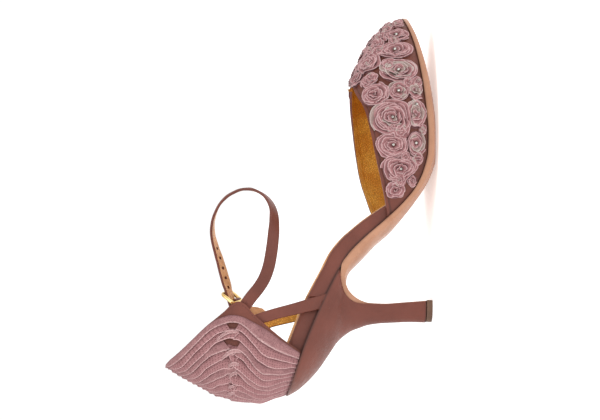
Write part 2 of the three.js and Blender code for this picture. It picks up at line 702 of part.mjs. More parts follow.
function makeRose(rose, all) {
  const size = rose.along + rose.across;
  const corners = size > 15 ? 12 : size > 10 ? 10 : 8;
  const height = roseHeight * (0.5 + (0.5 * Math.min(size, 20)) / 20);
  const seat = gap + rose.across ** 2 / 320; // the flat base clears the curve of the vamp
  const reaches = Array.from({ length: corners }, (_, i) => roseEdge(rose, all, (2 * Math.PI * i) / corners));
  const rings = roseShape.map(({ reach, height: share }) =>
    reaches.map((r, i) => {
      const angle = (2 * Math.PI * i) / corners;
      const [fore, round] = [Math.cos(angle) * r * reach, Math.sin(angle) * r * reach];
      const { at, normal } = vampFrame(rose.x + fore * rose.stride, rose.up + round + fore * rose.drift, rose.side);
      return at.addScaledVector(normal, seat + height * share).toArray();
    }),
  );
  const hub = (lift) => rose.at.clone().addScaledVector(rose.normal, lift).toArray();
  const points = [...rings.flat(), hub(seat), hub(seat + height * roseDip)];
  const [under, over] = [points.length - 2, points.length - 1];
  const triangles = [];
  for (let i = 0; i < corners; i++) {
    const next = (i + 1) % corners;
    triangles.push([next, i, under]);
    for (let r = 0; r + 1 < rings.length; r++) {
      const [a, b] = [r * corners + i, r * corners + next];
      triangles.push([a, b, b + corners], [a, b + corners, a + corners]);
    }
    const top = (rings.length - 1) * corners;
    triangles.push([top + i, top + next, over]);
  }
  return body(points, triangles);
}

function makeRoses() {
  const placed = [
    ...sideRoses.map((r, i) => ({ ...r, side: -1, name: `rose_medial_${i + 1}` })),
    ...sideRoses.map((r, i) => ({ ...r, side: 1, name: `rose_lateral_${i + 1}` })),
    ...toeRoses.map((r, i) => ({ ...r, up: 0, side: 0, name: `rose_toe_${i + 1}` })),
  ].map((r) => ({ ...r, ...vampFrame(r.x, r.up, r.side) }));
  return placed.map((rose) => piece(rose.name, makeRose(rose, placed), "organza"));
}

// Level plan of the insole, sock and seat: half the width at x, inside the given inset.
function insoleHalf(x, side, extra) {
  const inset = along(insoleBody, "x", "inset")(x) + extra;
  const edge = side < 0 ? featherInner(x) : featherOuter(x);
  const z = featherZ(x);
  const rearInward = pleatRelief + counterWall + 2 * gap + extra;
  const rear = levelHalf(x - rearOf(z) - rearInward, rearHalf(z) - rearInward, rearRun(z) - rearInward * 0.4);
  return Math.min(edge - inset, x < 60 ? rear : Infinity);
}

const insoleStations = [
  9.2, 9.7, 11, 13.5, 17, 23, 30, 38, 46, 54, 62, 70, 78, 84, 90, 96, 102, 108, 114, 120, 128, 138, 150, 162, 175,
  188, 200, 210, 218, 224, 228,
];

function insoleRings(bottomOf, topOf, extra, stations, roll) {
  return stations.map((x) => {
    const [inner, outer] = [-1, 1].map((side) => Math.max(insoleHalf(x, side, extra), 0.4));
    const [bottom, top] = [bottomOf(x), topOf(x)];
    const round = Math.min(roll, (top - bottom) * 0.45);
    const pull = Math.min(round * 0.8, inner * 0.5, outer * 0.5);
    return [
      [x, -inner, bottom], [x, -inner, top - round], [x, -inner + pull * 0.3, top - round * 0.3],
      [x, -inner + pull, top], [x, outer - pull, top], [x, outer - pull * 0.3, top - round * 0.3],
      [x, outer, top - round], [x, outer, bottom],
    ];
  });
}

const insoleThick = along(insoleBody, "x", "thick");
const insoleTop = (x) => featherZ(x) + gap + insoleThick(x);

function makeInsole() {
  return loft(insoleRings((x) => featherZ(x) + gap, insoleTop, 0, insoleStations, 2.4));
}

function makeSock() {
  const stations = insoleStations.slice(3, -1);
  const bottom = (x) => insoleTop(x) + gap;
  return loft(insoleRings(bottom, (x) => bottom(x) + sockThickness, 2.2, stations, 0.3));
}

// A flat strip along points, each with the direction of its width and its own width.
function strip(stations, thickness) {
  const middle = thickness / 2;
  const rings = stations.map(({ at, across, tangent, width }) => {
    const out = across.clone().cross(tangent).normalize().multiplyScalar(middle);
    const half = across.clone().multiplyScalar(width / 2);
    const corner = (s, t) => at.clone().addScaledVector(half, s).addScaledVector(out, t).toArray();
    return [corner(-1, -1), corner(1, -1), corner(1, 1), corner(-1, 1)];
  });
  return loft(rings);
}

// The strap at one side of the foot, from the heel seat to the inside of the counter.
function makeSideStrap(side) {
  const rows = [
    { x: 57.2, z: 66.6, half: 24.4, width: 8.6 },
    { x: 55.1, z: 75, half: 24.8, width: 7.4 },
    { x: 52.6, z: 84, half: 25.0, width: 6.8 },
    { x: 49.9, z: 94, half: 24.6, width: 6.5 },
    { x: 46.8, z: 103.4, half: 24.0, width: 6.5 },
    { x: 44.3, z: 109.0, half: 23.2, width: 6.5 },
  ];
  const spare = side > 0 ? 0.8 : 0; // the outer side of the insole is that much wider at the seat
  const reach = (r, i) => r.half + spare * Math.max(0, 1 - i / 3);
  const points = rows.map((r, i) => new THREE.Vector3(r.x, side * reach(r, i), r.z));
  const curve = new THREE.CatmullRomCurve3(points);
  const stations = rows.map((r, i) => {
    const tangent = curve.getTangent(i / (rows.length - 1));
    const across = new THREE.Vector3(0, 1, 0).cross(tangent).normalize();
    return { at: points[i], across, tangent, width: r.width };
  });
  const seat = [40, 46, 54, 61, 69, 80].map((x) => [x, featherZ(x) + gap]);
  const below = acrossShoe([[40, 40], ...seat, [80, 40]]);
  return geometryOf(solidOf(strip(stations, sideStrapThickness)).subtract(below));
}

function buckleAxes() {
  const forward = vector(buckle.forward).normalize();
  const across = vector(buckle.across);
  across.addScaledVector(forward, -across.dot(forward)).normalize();
  const out = across.clone().cross(forward).normalize();
  if (out.y < 0) out.negate();
  return { forward, across, out, centre: vector(buckle.centre) };
}

const frameAt = buckleAxes();
function onBuckle(forward, across, out) {
  return frameAt.centre
    .clone()
    .addScaledVector(frameAt.forward, forward)
    .addScaledVector(frameAt.across, across)
    .addScaledVector(frameAt.out, out);
}

// A box in the buckle's own directions.
function buckleBlock([f0, f1], [a0, a1], [o0, o1]) {
  const ring = (f) => [[a0, o0], [a1, o0], [a1, o1], [a0, o1]].map(([a, o]) => onBuckle(f, a, o).toArray());
  return loft([ring(f0), ring(f1)]);
}

// The strap's way through the buckle: under its front bar and out over the rear bar.
const buckleRoute = [
  { forward: 4.2, out: -2.1 },
  { forward: 1.2, out: 0.2 },
  { forward: -2.2, out: 3.2 },
  { forward: -4.8, out: 4.6 },
];

function makeAnkleStrap() {
  const up = new THREE.Vector3(0, 1, 0);
  const loose = (r) => ({ at: vector([r.x, r.y, r.z]), lean: r.lean, width: r.width ?? strapWidth });
  const rows = [
    ...ankleRoute.map(loose),
    ...buckleRoute.map((r) => ({ at: onBuckle(r.forward, 0, r.out), lean: null, width: strapWidth })),
    ...tailRoute.map(loose),
  ];
  const curve = new THREE.CatmullRomCurve3(rows.map((r) => r.at), false, "centripetal");
  const last = rows.length - 1;
  const widthAcross = rows.map((r, i) => {
    if (r.lean === null) return frameAt.across.clone();
    const tangent = curve.getTangent(i / last);
    const flat = up.clone().addScaledVector(tangent, -up.dot(tangent)).normalize();
    const high = tangent.clone().cross(flat);
    const angle = THREE.MathUtils.degToRad(r.lean);
    return flat.multiplyScalar(Math.cos(angle)).addScaledVector(high, Math.sin(angle));
  });
  const perSpan = 2;
  const stations = [];
  for (let i = 0; i <= last * perSpan; i++) {
    const share = i / (last * perSpan);
    const before = Math.floor(i / perSpan);
    const after = Math.ceil(i / perSpan);
    const tangent = curve.getTangent(share);
    const across = widthAcross[before].clone().add(widthAcross[after]);
    across.addScaledVector(tangent, -across.dot(tangent)).normalize();
    stations.push({ at: curve.getPoint(share), across, tangent, width: (rows[before].width + rows[after].width) / 2 });
  }
  const slot = solidOf(buckleBlock([-3.4, 6.6], [-1.0, 1.0], [-0.9, 2.6]));
  return geometryOf(solidOf(strip(stations, strapThickness)).subtract(slot));
}

// The short strap that holds the buckle: folded round the rear bar, its end sewn inside the counter.
function makeBuckleStrap() {
  const ply = 1.1;
  const eye = buckle.bar / 2 + gap;
  const half = 3.2;
  const bar = -buckle.length / 2 + buckle.bar / 2;
  const profile = [
    [bar - 5, -0.8], [bar - 1.5, -eye - ply], [bar + eye, -eye - ply], [bar + eye + ply, -eye],
    [bar + eye + ply, eye], [bar + eye, eye + ply], [bar - 1.5, eye + ply], [bar - 5, 0.8],
  ];
  const section = (a) => profile.map(([f, o]) => onBuckle(f, a, o).toArray());
  const fold = solidOf(loft([section(-half), section(half)]));
  const hole = solidOf(buckleBlock([bar - eye, bar + eye], [-9, 9], [-eye, eye]));
  const route = [onBuckle(bar - 2, 0, 0), onBuckle(bar - 4.5, 0, 0), ...buckleStrapRoot.map(vector)];
  const curve = new THREE.CatmullRomCurve3(route, false, "centripetal");
  const steps = 2 * (route.length - 1);
  const stations = Array.from({ length: steps + 1 }, (_, i) => {
    const tangent = curve.getTangent(i / steps);
    const across = frameAt.across.clone().lerp(new THREE.Vector3(-0.1, 0.05, 1), Math.min(1, i / (steps - 2)));
    across.addScaledVector(tangent, -across.dot(tangent)).normalize();
    return { at: curve.getPoint(i / steps), across, tangent, width: 2 * half };
  });
  return geometryOf(fold.add(solidOf(strip(stations, 1.6))).subtract(hole));
}

function makeBuckleFrame() {
  const { length, width, bar, thick } = buckle;
  const block = (l, w, t) => solidOf(buckleBlock([-l / 2, l / 2], [-w / 2, w / 2], [-t / 2, t / 2]));
  return geometryOf(block(length, width, thick).subtract(block(length - 2 * bar, width - 2 * bar, thick * 2)));
}

function makeBuckleProng() {
  const reach = buckle.length / 2;
  const rear = -reach + buckle.bar + gap + 1.5;
  const points = [
    { forward: rear, out: 0 },
    { forward: 0.4, out: 1.3 },
    { forward: reach - buckle.bar, out: buckle.thick / 2 + gap + 0.5 },
    { forward: reach + 0.5, out: buckle.thick / 2 + gap + 0.5 },
  ];
  const rings = points.map(({ forward, out }) =>
    [[-0.6, -0.5], [0.6, -0.5], [0.6, 0.5], [-0.6, 0.5]].map(([a, o]) => onBuckle(forward, a, out + o).toArray()),
  );
  return loft(rings);
}

function build() {
  const shoe = new THREE.Group();
  shoe.add(
    piece("outsole", makeOutsole(), "soleLeather"),
    piece("heel", makeHeel(), "satin"),
    piece("top_piece", makeTopPiece(), "heelTip"),
    piece("insole", makeInsole(), "satin"),
    piece("sock_lining", makeSock(), "goldLeather"),
    piece("vamp", makeVamp(), "satin"),
    piece("counter", makeCounter(), "satin"),
    piece("pleats_medial", makePleats(-1), "organza"),
    piece("pleats_lateral", makePleats(1), "organza"),
    piece("side_strap_medial", makeSideStrap(-1), "satin"),
    piece("side_strap_lateral", makeSideStrap(1), "satin"),
    piece("ankle_strap", makeAnkleStrap(), "satin"),
    piece("buckle_strap", makeBuckleStrap(), "satin"),
    piece("buckle_frame", makeBuckleFrame(), "buckle"),
    piece("buckle_prong", makeBuckleProng(), "buckle"),
    ...makeRoses(),
  );
  shoe.position.set(-centreX, -centreY, 0);
  return shoe;
}

export default build();
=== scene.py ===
# High-heeled evening sandal, left shoe: satin upper, ribbon roses, pleated heel, buckled ankle strap.
# Tables are millimetres with x = 0 at the heel and y = 0 on the middle line; spot() turns them into metres.
import math
import random
from bisect import bisect_right

import bpy
from mathutils import Matrix, Vector, noise
from mathutils.kdtree import KDTree


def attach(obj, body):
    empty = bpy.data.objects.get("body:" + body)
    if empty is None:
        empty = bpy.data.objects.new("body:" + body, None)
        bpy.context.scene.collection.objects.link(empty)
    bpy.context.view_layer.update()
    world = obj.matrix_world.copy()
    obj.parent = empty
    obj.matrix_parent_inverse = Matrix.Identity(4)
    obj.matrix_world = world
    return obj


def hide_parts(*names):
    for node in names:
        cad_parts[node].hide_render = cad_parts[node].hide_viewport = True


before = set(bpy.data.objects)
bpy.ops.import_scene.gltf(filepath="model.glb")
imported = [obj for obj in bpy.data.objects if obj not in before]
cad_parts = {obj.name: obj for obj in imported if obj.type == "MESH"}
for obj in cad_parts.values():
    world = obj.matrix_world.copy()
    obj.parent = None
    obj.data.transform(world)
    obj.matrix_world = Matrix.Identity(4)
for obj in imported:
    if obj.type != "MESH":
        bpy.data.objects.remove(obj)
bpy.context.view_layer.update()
random.seed(7)
print("frame loaded:", len(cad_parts), "nodes")

mm = 0.001
centre = {"x": 116.7, "y": 1.25}
gap = 0.3  # between glued or sewn pieces
wallThick = 1.8


def spot(x, y, z):
    return Vector(((x - centre["x"]) * mm, (y - centre["y"]) * mm, z * mm))


def table(columns, rows):
    names = columns.split()
    return [dict(zip(names, row)) for row in rows]


def along(rows, key, column):
    xs = [r[key] for r in rows]
    ys = [r[column] for r in rows]
    steps = [(ys[i + 1] - ys[i]) / (xs[i + 1] - xs[i]) for i in range(len(xs) - 1)]
    slopes = [steps[0]]
    for a, b in zip(steps, steps[1:]):
        slopes.append(0.0 if a * b <= 0 else 2 * a * b / (a + b))
    slopes.append(steps[-1])

    def at(x):
        if x <= xs[0]:
            return ys[0]
        if x >= xs[-1]:
            return ys[-1]
        i = bisect_right(xs, x) - 1
        h = xs[i + 1] - xs[i]
        t = (x - xs[i]) / h
        a = (1 + 2 * t) * (1 - t) ** 2 * ys[i] + t * (1 - t) ** 2 * h * slopes[i]
        return a + t * t * (3 - 2 * t) * ys[i + 1] + t * t * (t - 1) * h * slopes[i + 1]

    return at


def mix(a, b, t):
    return a + (b - a) * t


def bump(distance, width):
    return math.exp(-((distance / width) ** 2))


# The last and the sole, as the pattern cutter's tables.
feather = table("x z inner outer", [
    (3, 86.5, 25, 25), (30, 78.0, 26, 26), (46, 71.8, 25.6, 26.2), (61, 65.2, 24.4, 25.2),
    (77.5, 56.9, 22.4, 23.6), (86, 51.6, 21.8, 23.2), (95.5, 42.6, 22.0, 23.6), (107, 29.6, 24.2, 26.0),
    (116, 20.2, 27.0, 29.4), (126, 12.4, 30.6, 33.8), (136, 8.2, 34.2, 37.6), (146, 6.3, 36.6, 39.8),
    (157, 6.2, 37.4, 40.0), (170, 7.1, 36.0, 37.8), (185, 8.3, 32.3, 33.6), (200, 10.1, 27.0, 27.8),
    (212, 12.0, 21.2, 21.6), (222, 14.2, 14.8, 15.0), (229, 16.2, 8.8, 9.0), (232.8, 17.4, 4.2, 4.2),
    (234.6, 18.0, 0.8, 0.8),
])
lastCrown = table("x top shift widest", [
    (100, 106, 5, 12), (120, 94, 5, 11), (140, 80, 5, 10), (155, 69, 4, 9), (170, 59.5, 3, 8),
    (183, 52.6, 2, 7.5), (192, 48.6, 1.5, 7), (202, 44.6, 1, 6), (212, 40.2, 0.5, 5), (220, 35.0, 0, 4.5),
    (226, 30.0, 0, 4), (230.5, 25.4, 0, 3), (233.2, 21.8, 0, 2), (234.4, 19.6, 0, 0.8),
])
topline = table("x z", [
    (106.4, 28.0), (117, 33.3), (128, 36.7), (139, 39.9), (155, 43.0), (170, 45.6), (183, 48.0),
    (190, 49.2), (193, 51.0),
])
rearLevels = table("z rear half run", [
    (66, 12, 26.0, 26), (78, 7.4, 26.4, 27), (86, 4.3, 27.0, 28), (94, 1.3, 28.2, 30), (102, -1.2, 29.0, 32),
    (111, -0.8, 28.6, 32), (119, 1.0, 27.4, 32), (127, 2.9, 25.6, 31), (135, 7.2, 23.4, 29),
    (145, 12.4, 20.6, 27), (152, 16.4, 18.6, 25), (158, 20.4, 17.0, 24),
])
counterEdge = table("z x pleats", [
    (78.0, 27.2, 26.2), (90, 35.3, 33.6), (101.5, 44.5, 41.4), (107, 49.3, 44.3), (112, 55.0, 46.9),
    (116, 56.6, 48.2), (120, 54.6, 48.6), (124, 50.8, 47.6), (129, 46.6, 45.7), (134, 42.6, 42.2),
    (142, 34.8, 34.6), (150, 27.4, 27.3), (157.4, 21.6, 21.6),
])
counterRows = table("row back front", [
    (0, 86.4, 78.4), (1, 93, 86), (2, 101, 95), (3, 108, 103), (4, 114, 110), (5, 119, 116), (6, 124, 121),
    (7, 130, 127), (8, 138, 135), (9, 146, 144), (10, 151, 150.5), (11, 154, 153.6), (12, 156.4, 156.4),
])
insoleBody = table("x thick inset", [
    (10, 8.2, 1.2), (46, 9.2, 1.2), (61, 9.6, 1.2), (78, 9.4, 1.0), (88, 11.0, 1.0), (97, 12.4, 1.4),
    (104, 12.4, 2.4), (110, 11.2, 3.1), (118, 7.4, 3.1), (128, 4.0, 3.1), (140, 3.0, 3.1), (229, 3.0, 3.1),
])

featherZ = along(feather, "x", "z")
featherInner = along(feather, "x", "inner")
featherOuter = along(feather, "x", "outer")
crownTop = along(lastCrown, "x", "top")
crownShift = along(lastCrown, "x", "shift")
crownWidest = along(lastCrown, "x", "widest")
toplineZ = along(topline, "x", "z")
rearOf = along(rearLevels, "z", "rear")
rearHalf = along(rearLevels, "z", "half")
rearRun = along(rearLevels, "z", "run")
counterFront = along(counterEdge, "z", "x")
pleatFront = along(counterEdge, "z", "pleats")
insoleThick = along(insoleBody, "x", "thick")
insoleInset = along(insoleBody, "x", "inset")

lastShape = {"sideShare": 0.1, "roundness": 2.3, "ledge": 0.8, "rearRoundness": 2.2}


def lastPoint(x, around, inward=0.0):
    outer = around > 0.5
    way = 1 - around if outer else around
    edge = (featherOuter(x) if outer else featherInner(x)) - lastShape["ledge"]
    bulge = min(1, edge / 8)
    base = featherZ(x) + gap
    widest = base + crownWidest(x)
    half = max(edge + bulge - inward, 0.3)
    sign = 1 if outer else -1
    low = lastShape["sideShare"]
    if way <= low:
        t = way / low
        return (x, sign * (half - bulge * (1 - t) ** 2), base + (widest - base) * t)
    angle = min(1, (way - low) / (0.5 - low)) * math.pi / 2
    ridge = -crownShift(x)
    rise = max(crownTop(x) - inward - widest, 0.5)
    power = 2 / lastShape["roundness"]
    y = ridge + (sign * half - ridge) * max(math.cos(angle), 0) ** power
    return (x, y, widest + rise * max(math.sin(angle), 0) ** power)


class Line:  # a polyline that can be walked by length
    def __init__(self, points):
        self.points = points
        self.lengths = [0.0]
        for a, b in zip(points, points[1:]):
            self.lengths.append(self.lengths[-1] + math.dist(a, b))
        self.whole = self.lengths[-1]

    def walk(self, length):
        length = min(max(length, 0), self.whole)
        i = min(max(bisect_right(self.lengths, length), 1), len(self.points) - 1)
        step = self.lengths[i] - self.lengths[i - 1]
        t = (length - self.lengths[i - 1]) / step if step > 1e-9 else 0
        return tuple(mix(a, b, t) for a, b in zip(self.points[i - 1], self.points[i]))


lastLines = {}


def lastLine(step):  # one ring of the last, at x = step * 0.25
    if step not in lastLines:
        lastLines[step] = Line([lastPoint(step * 0.25, i / 80)[1:] for i in range(81)])
    return lastLines[step]


def vampPoint(x, up, side):
    x = min(x, 234.4)
    step = math.floor(x / 0.25)
    found = []
    for line in (lastLine(step), lastLine(step + 1)):
        length = line.whole - up if side > 0 else up if side < 0 else line.whole / 2 + up
        found.append(line.walk(length))
    t = x / 0.25 - step
    return Vector((x, mix(found[0][0], found[1][0], t), mix(found[0][1], found[1][1], t)))


def vampFrame(x, up, side):
    step = 0.5
    at = vampPoint(x, up, side)
    roundWay = (vampPoint(x, up + step, side) - at).normalized()
    ahead = vampPoint(x + step, up, side) - at
    rise = ahead.dot(roundWay)
    fore = ahead - roundWay * rise
    length = max(fore.length, 1e-6)
    fore = fore / length
    normal = fore.cross(roundWay) * (-1 if side > 0 else 1)
    return {"at": at, "fore": fore, "round": roundWay, "normal": normal,
            "stride": step / length, "drift": -rise / length}


def levelHalf(distance, half, run):
    if distance <= 0:
        return 0
    if distance >= run:
        return half
    power = lastShape["rearRoundness"]
    return half * (1 - (1 - distance / run) ** power) ** (1 / power)


def rearCurve(z, inward):
    rear = rearOf(z) + inward
    half = rearHalf(z) - inward
    run = rearRun(z) - inward * 0.4
    curve = [(rear, 0)]
    for i in range(1, 31):
        distance = run * (i / 30) ** 2
        curve.append((rear + distance, levelHalf(distance, half, run)))
    curve.append((rear + 90, half))
    return Line(curve)


def lengthTo(line, x):
    total = 0
    for a, b in zip(line.points, line.points[1:]):
        share = min(1, max(0, (x - a[0]) / (b[0] - a[0])))
        total += math.dist(a, b) * share
        if share < 1:
            break
    return total


def insoleHalf(x, side, extra):
    edge = featherInner(x) if side < 0 else featherOuter(x)
    z = featherZ(x)
    pull = 2.0 + wallThick + 2 * gap + extra
    rear = levelHalf(x - rearOf(z) - pull, rearHalf(z) - pull, rearRun(z) - pull * 0.4)
    width = edge - insoleInset(x) - extra
    return max(min(width, rear) if x < 60 else width, 0.4)


def insoleTop(x):
    return featherZ(x) + gap + insoleThick(x)


def routeThrough(points):  # smooth curve through points, evenly numbered
    points = [Vector(p) for p in points]
    last = len(points) - 1
    ends = [points[0] * 2 - points[1]] + points + [points[-1] * 2 - points[-2]]

    def at(share):
        place = min(max(share, 0), 1) * last
        i = min(int(place), last - 1)
        t = place - i
        p0, p1, p2, p3 = ends[i:i + 4]
        d0, d1, d2 = [max((b - a).length ** 0.5, 1e-4) for a, b in ((p0, p1), (p1, p2), (p2, p3))]
        m1 = ((p1 - p0) / d0 - (p2 - p0) / (d0 + d1) + (p2 - p1) / d1) * d1
        m2 = ((p2 - p1) / d1 - (p3 - p1) / (d1 + d2) + (p3 - p2) / d2) * d1
        return (p1 + m1 * t + (p2 * 3 - p1 * 3 - m1 * 2 - m2) * t ** 2
                + (p1 * 2 - p2 * 2 + m1 + m2) * t ** 3)

    def heading(share):
        return (at(share + 1e-4) - at(share - 1e-4)).normalized()

    return at, heading, last


# Colours, from the sRGB values seen on the shoe.
def tint(red, green, blue):
    def linear(c):
        c = c / 255
        return c / 12.92 if c <= 0.04045 else ((c + 0.055) / 1.055) ** 2.4
    return (linear(red), linear(green), linear(blue), 1)


def newGroup(name, inputs, outputs):
    group = bpy.data.node_groups.new(name, "ShaderNodeTree")
    for label, kind, value in inputs:
        socket = group.interface.new_socket(label, in_out="INPUT", socket_type="NodeSocket" + kind)
        socket.default_value = value
    for label, kind in outputs:
        group.interface.new_socket(label, in_out="OUTPUT", socket_type="NodeSocket" + kind)
    return group, group.nodes.new("NodeGroupInput"), group.nodes.new("NodeGroupOutput")


def setInputs(tree, node, values):  # a socket is linked, and any other value is set
    for key, value in values.items():
        if isinstance(value, bpy.types.NodeSocket):
            tree.links.new(value, node.inputs[key])
        else:
            node.inputs[key].default_value = value
    return node


def addNode(tree, kind, values=None, **settings):
    node = tree.nodes.new("ShaderNode" + kind)
    for key, value in settings.items():
        setattr(node, key, value)
    return setInputs(tree, node, values or {})


def makeWeaveGroup():  # crossed threads with slubs, on a flat pattern
    group, given, made = newGroup("threadWeave", [
        ("Vector", "Vector", (0, 0, 0)), ("Threads", "Float", 2600.0), ("Slub", "Float", 0.4),
    ], [("Height", "Float"), ("Shade", "Float")])
    warp, weft = [addNode(group, "TexWave", {0: given.outputs["Vector"], 1: given.outputs["Threads"],
                                             "Distortion": 0.6}, bands_direction=way) for way in ("X", "Y")]
    crossed = addNode(group, "Math", {0: warp.outputs["Fac"], 1: weft.outputs["Fac"]}, operation="MULTIPLY")
    slub = addNode(group, "TexNoise", {0: given.outputs["Vector"], "Scale": 420.0, "Detail": 3.0})
    patch = addNode(group, "Math", {0: slub.outputs["Fac"], 1: given.outputs["Slub"]}, operation="MULTIPLY")
    height = addNode(group, "Math", {0: crossed.outputs[0], 1: patch.outputs[0]}, operation="ADD")
    group.links.new(height.outputs[0], made.inputs["Height"])
    group.links.new(slub.outputs["Fac"], made.inputs["Shade"])
    return group


def makeGrainGroup():  # pebbled leather: cells with soft valleys
    group, given, made = newGroup("pebbleGrain", [
        ("Vector", "Vector", (0, 0, 0)), ("Cells", "Float", 900.0), ("Uneven", "Float", 0.3),
    ], [("Height", "Float"), ("Valley", "Float")])
    cells = addNode(group, "TexVoronoi", {0: given.outputs["Vector"], "Scale": given.outputs["Cells"]},
                    feature="DISTANCE_TO_EDGE")
    valley = addNode(group, "MapRange", {0: cells.outputs["Distance"], 1: 0.0, 2: 0.22, 3: 1.0, 4: 0.0},
                     interpolation_type="SMOOTHSTEP")
    cloud = addNode(group, "TexNoise", {0: given.outputs["Vector"], "Scale": 260.0, "Detail": 4.0})
    part = addNode(group, "Math", {0: cloud.outputs["Fac"], 1: given.outputs["Uneven"]},
                   operation="MULTIPLY")
    height = addNode(group, "Math", {0: part.outputs[0], 1: valley.outputs[0]}, operation="SUBTRACT")
    group.links.new(height.outputs[0], made.inputs["Height"])
    group.links.new(valley.outputs[0], made.inputs["Valley"])
    return group


def makeDotGroup():  # rows of round holes in a net, offset from row to row
    group, given, made = newGroup("dottedNet", [
        ("Vector", "Vector", (0, 0, 0)), ("Pitch", "Float", 560.0), ("Dot", "Float", 0.3),
    ], [("Dots", "Float"), ("Height", "Float")])
    scaled = addNode(group, "VectorMath", {0: given.outputs["Vector"], "Scale": given.outputs["Pitch"]},
                     operation="SCALE")
    cell = addNode(group, "VectorMath", {0: scaled.outputs[0]}, operation="FRACTION")
    middle = addNode(group, "VectorMath", {0: cell.outputs[0], 1: (0.5, 0.5, 0.0)}, operation="SUBTRACT")
    reach = addNode(group, "VectorMath", {0: middle.outputs[0]}, operation="LENGTH")
    inner = addNode(group, "Math", {0: given.outputs["Dot"], 1: 0.6}, operation="MULTIPLY")
    dots = addNode(group, "MapRange", {0: reach.outputs["Value"], 1: inner.outputs[0],
                                       2: given.outputs["Dot"], 3: 1.0, 4: 0.0},
                   interpolation_type="SMOOTHSTEP")
    net = addNode(group, "TexVoronoi", {0: given.outputs["Vector"], "Scale": 2400.0},
                  feature="DISTANCE_TO_EDGE", voronoi_dimensions="2D")
    ridge = addNode(group, "Math", {0: net.outputs["Distance"], 1: 0.35}, operation="MULTIPLY")
    sunk = addNode(group, "Math", {0: ridge.outputs[0], 1: dots.outputs[0]}, operation="SUBTRACT")
    group.links.new(dots.outputs[0], made.inputs["Dots"])
    group.links.new(sunk.outputs[0], made.inputs["Height"])
    return group


def makeToneGroup():  # cloudy change between a dark, a middle and a light tone, darker where shaded
    group, given, made = newGroup("cloudyTone", [
        ("Vector", "Vector", (0, 0, 0)), ("Cloud", "Float", 60.0), ("Dark", "Color", (0, 0, 0, 1)),
        ("Light", "Color", (1, 1, 1, 1)), ("Seam", "Color", (0, 0, 0, 1)), ("Shade", "Float", 0.0),
    ], [("Color", "Color"), ("Cloudy", "Float")])
    cloud = addNode(group, "TexNoise", {0: given.outputs["Vector"], "Scale": given.outputs["Cloud"],
                                        "Detail": 5.0, "Roughness": 0.6})
    spread = addNode(group, "MapRange", {0: cloud.outputs["Fac"], 1: 0.3, 2: 0.7, 3: 0.0, 4: 1.0})
    tone = addNode(group, "Mix", {0: spread.outputs[0], 6: given.outputs["Dark"],
                                  7: given.outputs["Light"]}, data_type="RGBA")
    # painted shade: where the shade attribute is painted, the tone is mixed towards the shade colour
    shaded = addNode(group, "Mix", {0: given.outputs["Shade"], 6: tone.outputs[2],
                                    7: given.outputs["Seam"]}, data_type="RGBA")
    group.links.new(shaded.outputs[2], made.inputs["Color"])
    group.links.new(spread.outputs[0], made.inputs["Cloudy"])
    return group


groups = {"weave": makeWeaveGroup(), "grain": makeGrainGroup(), "dots": makeDotGroup(),
          "tone": makeToneGroup()}


def useGroup(tree, name, values):
    node = tree.nodes.new("ShaderNodeGroup")
    node.node_tree = groups[name]
    return setInputs(tree, node, values)


def newMaterial(name, **sockets):
    material = bpy.data.materials.new(name)
    material.use_nodes = True
    tree = material.node_tree
    shader = tree.nodes["Principled BSDF"]
    for label, value in sockets.items():
        shader.inputs[label.replace("_", " ")].default_value = value
    coords = addNode(tree, "TexCoord")
    return material, tree, shader, coords


def addTone(tree, coords, look):
    shade = addNode(tree, "Attribute", attribute_name="shade")
    return useGroup(tree, "tone", {
        "Vector": coords.outputs["Object"], "Cloud": look["cloud"], "Dark": look["dark"],
        "Light": look["light"], "Seam": look["seam"], "Shade": shade.outputs["Fac"],
    })


def addRoughness(tree, shader, mask, span, ends):  # the mask's span becomes the roughness between the ends
    rough = addNode(tree, "MapRange", {0: mask, 1: span[0], 2: span[1], 3: ends[0], 4: ends[1]})
    tree.links.new(rough.outputs[0], shader.inputs["Roughness"])


def addBump(tree, shader, height, depth):
    node = addNode(tree, "Bump", {"Height": height, "Distance": depth * mm, "Strength": 1.0})
    tree.links.new(node.outputs["Normal"], shader.inputs["Normal"])


def makeSatin(name, look):
    material, tree, shader, coords = newMaterial(
        name, Roughness=look["roughness"], Specular_IOR_Level=0.4, Sheen_Weight=0.14, Sheen_Roughness=0.4,
        Sheen_Tint=look["sheen"], Metallic=look["metal"])
    tone = addTone(tree, coords, look)
    weave = useGroup(tree, "weave", {"Vector": coords.outputs["UV"], "Threads": look["threads"]})
    tree.links.new(tone.outputs["Color"], shader.inputs["Base Color"])
    addRoughness(tree, shader, weave.outputs["Shade"], (0.3, 0.7),
                 (look["roughness"] - 0.06, look["roughness"] + 0.08))
    addBump(tree, shader, weave.outputs["Height"], 0.018)
    return material


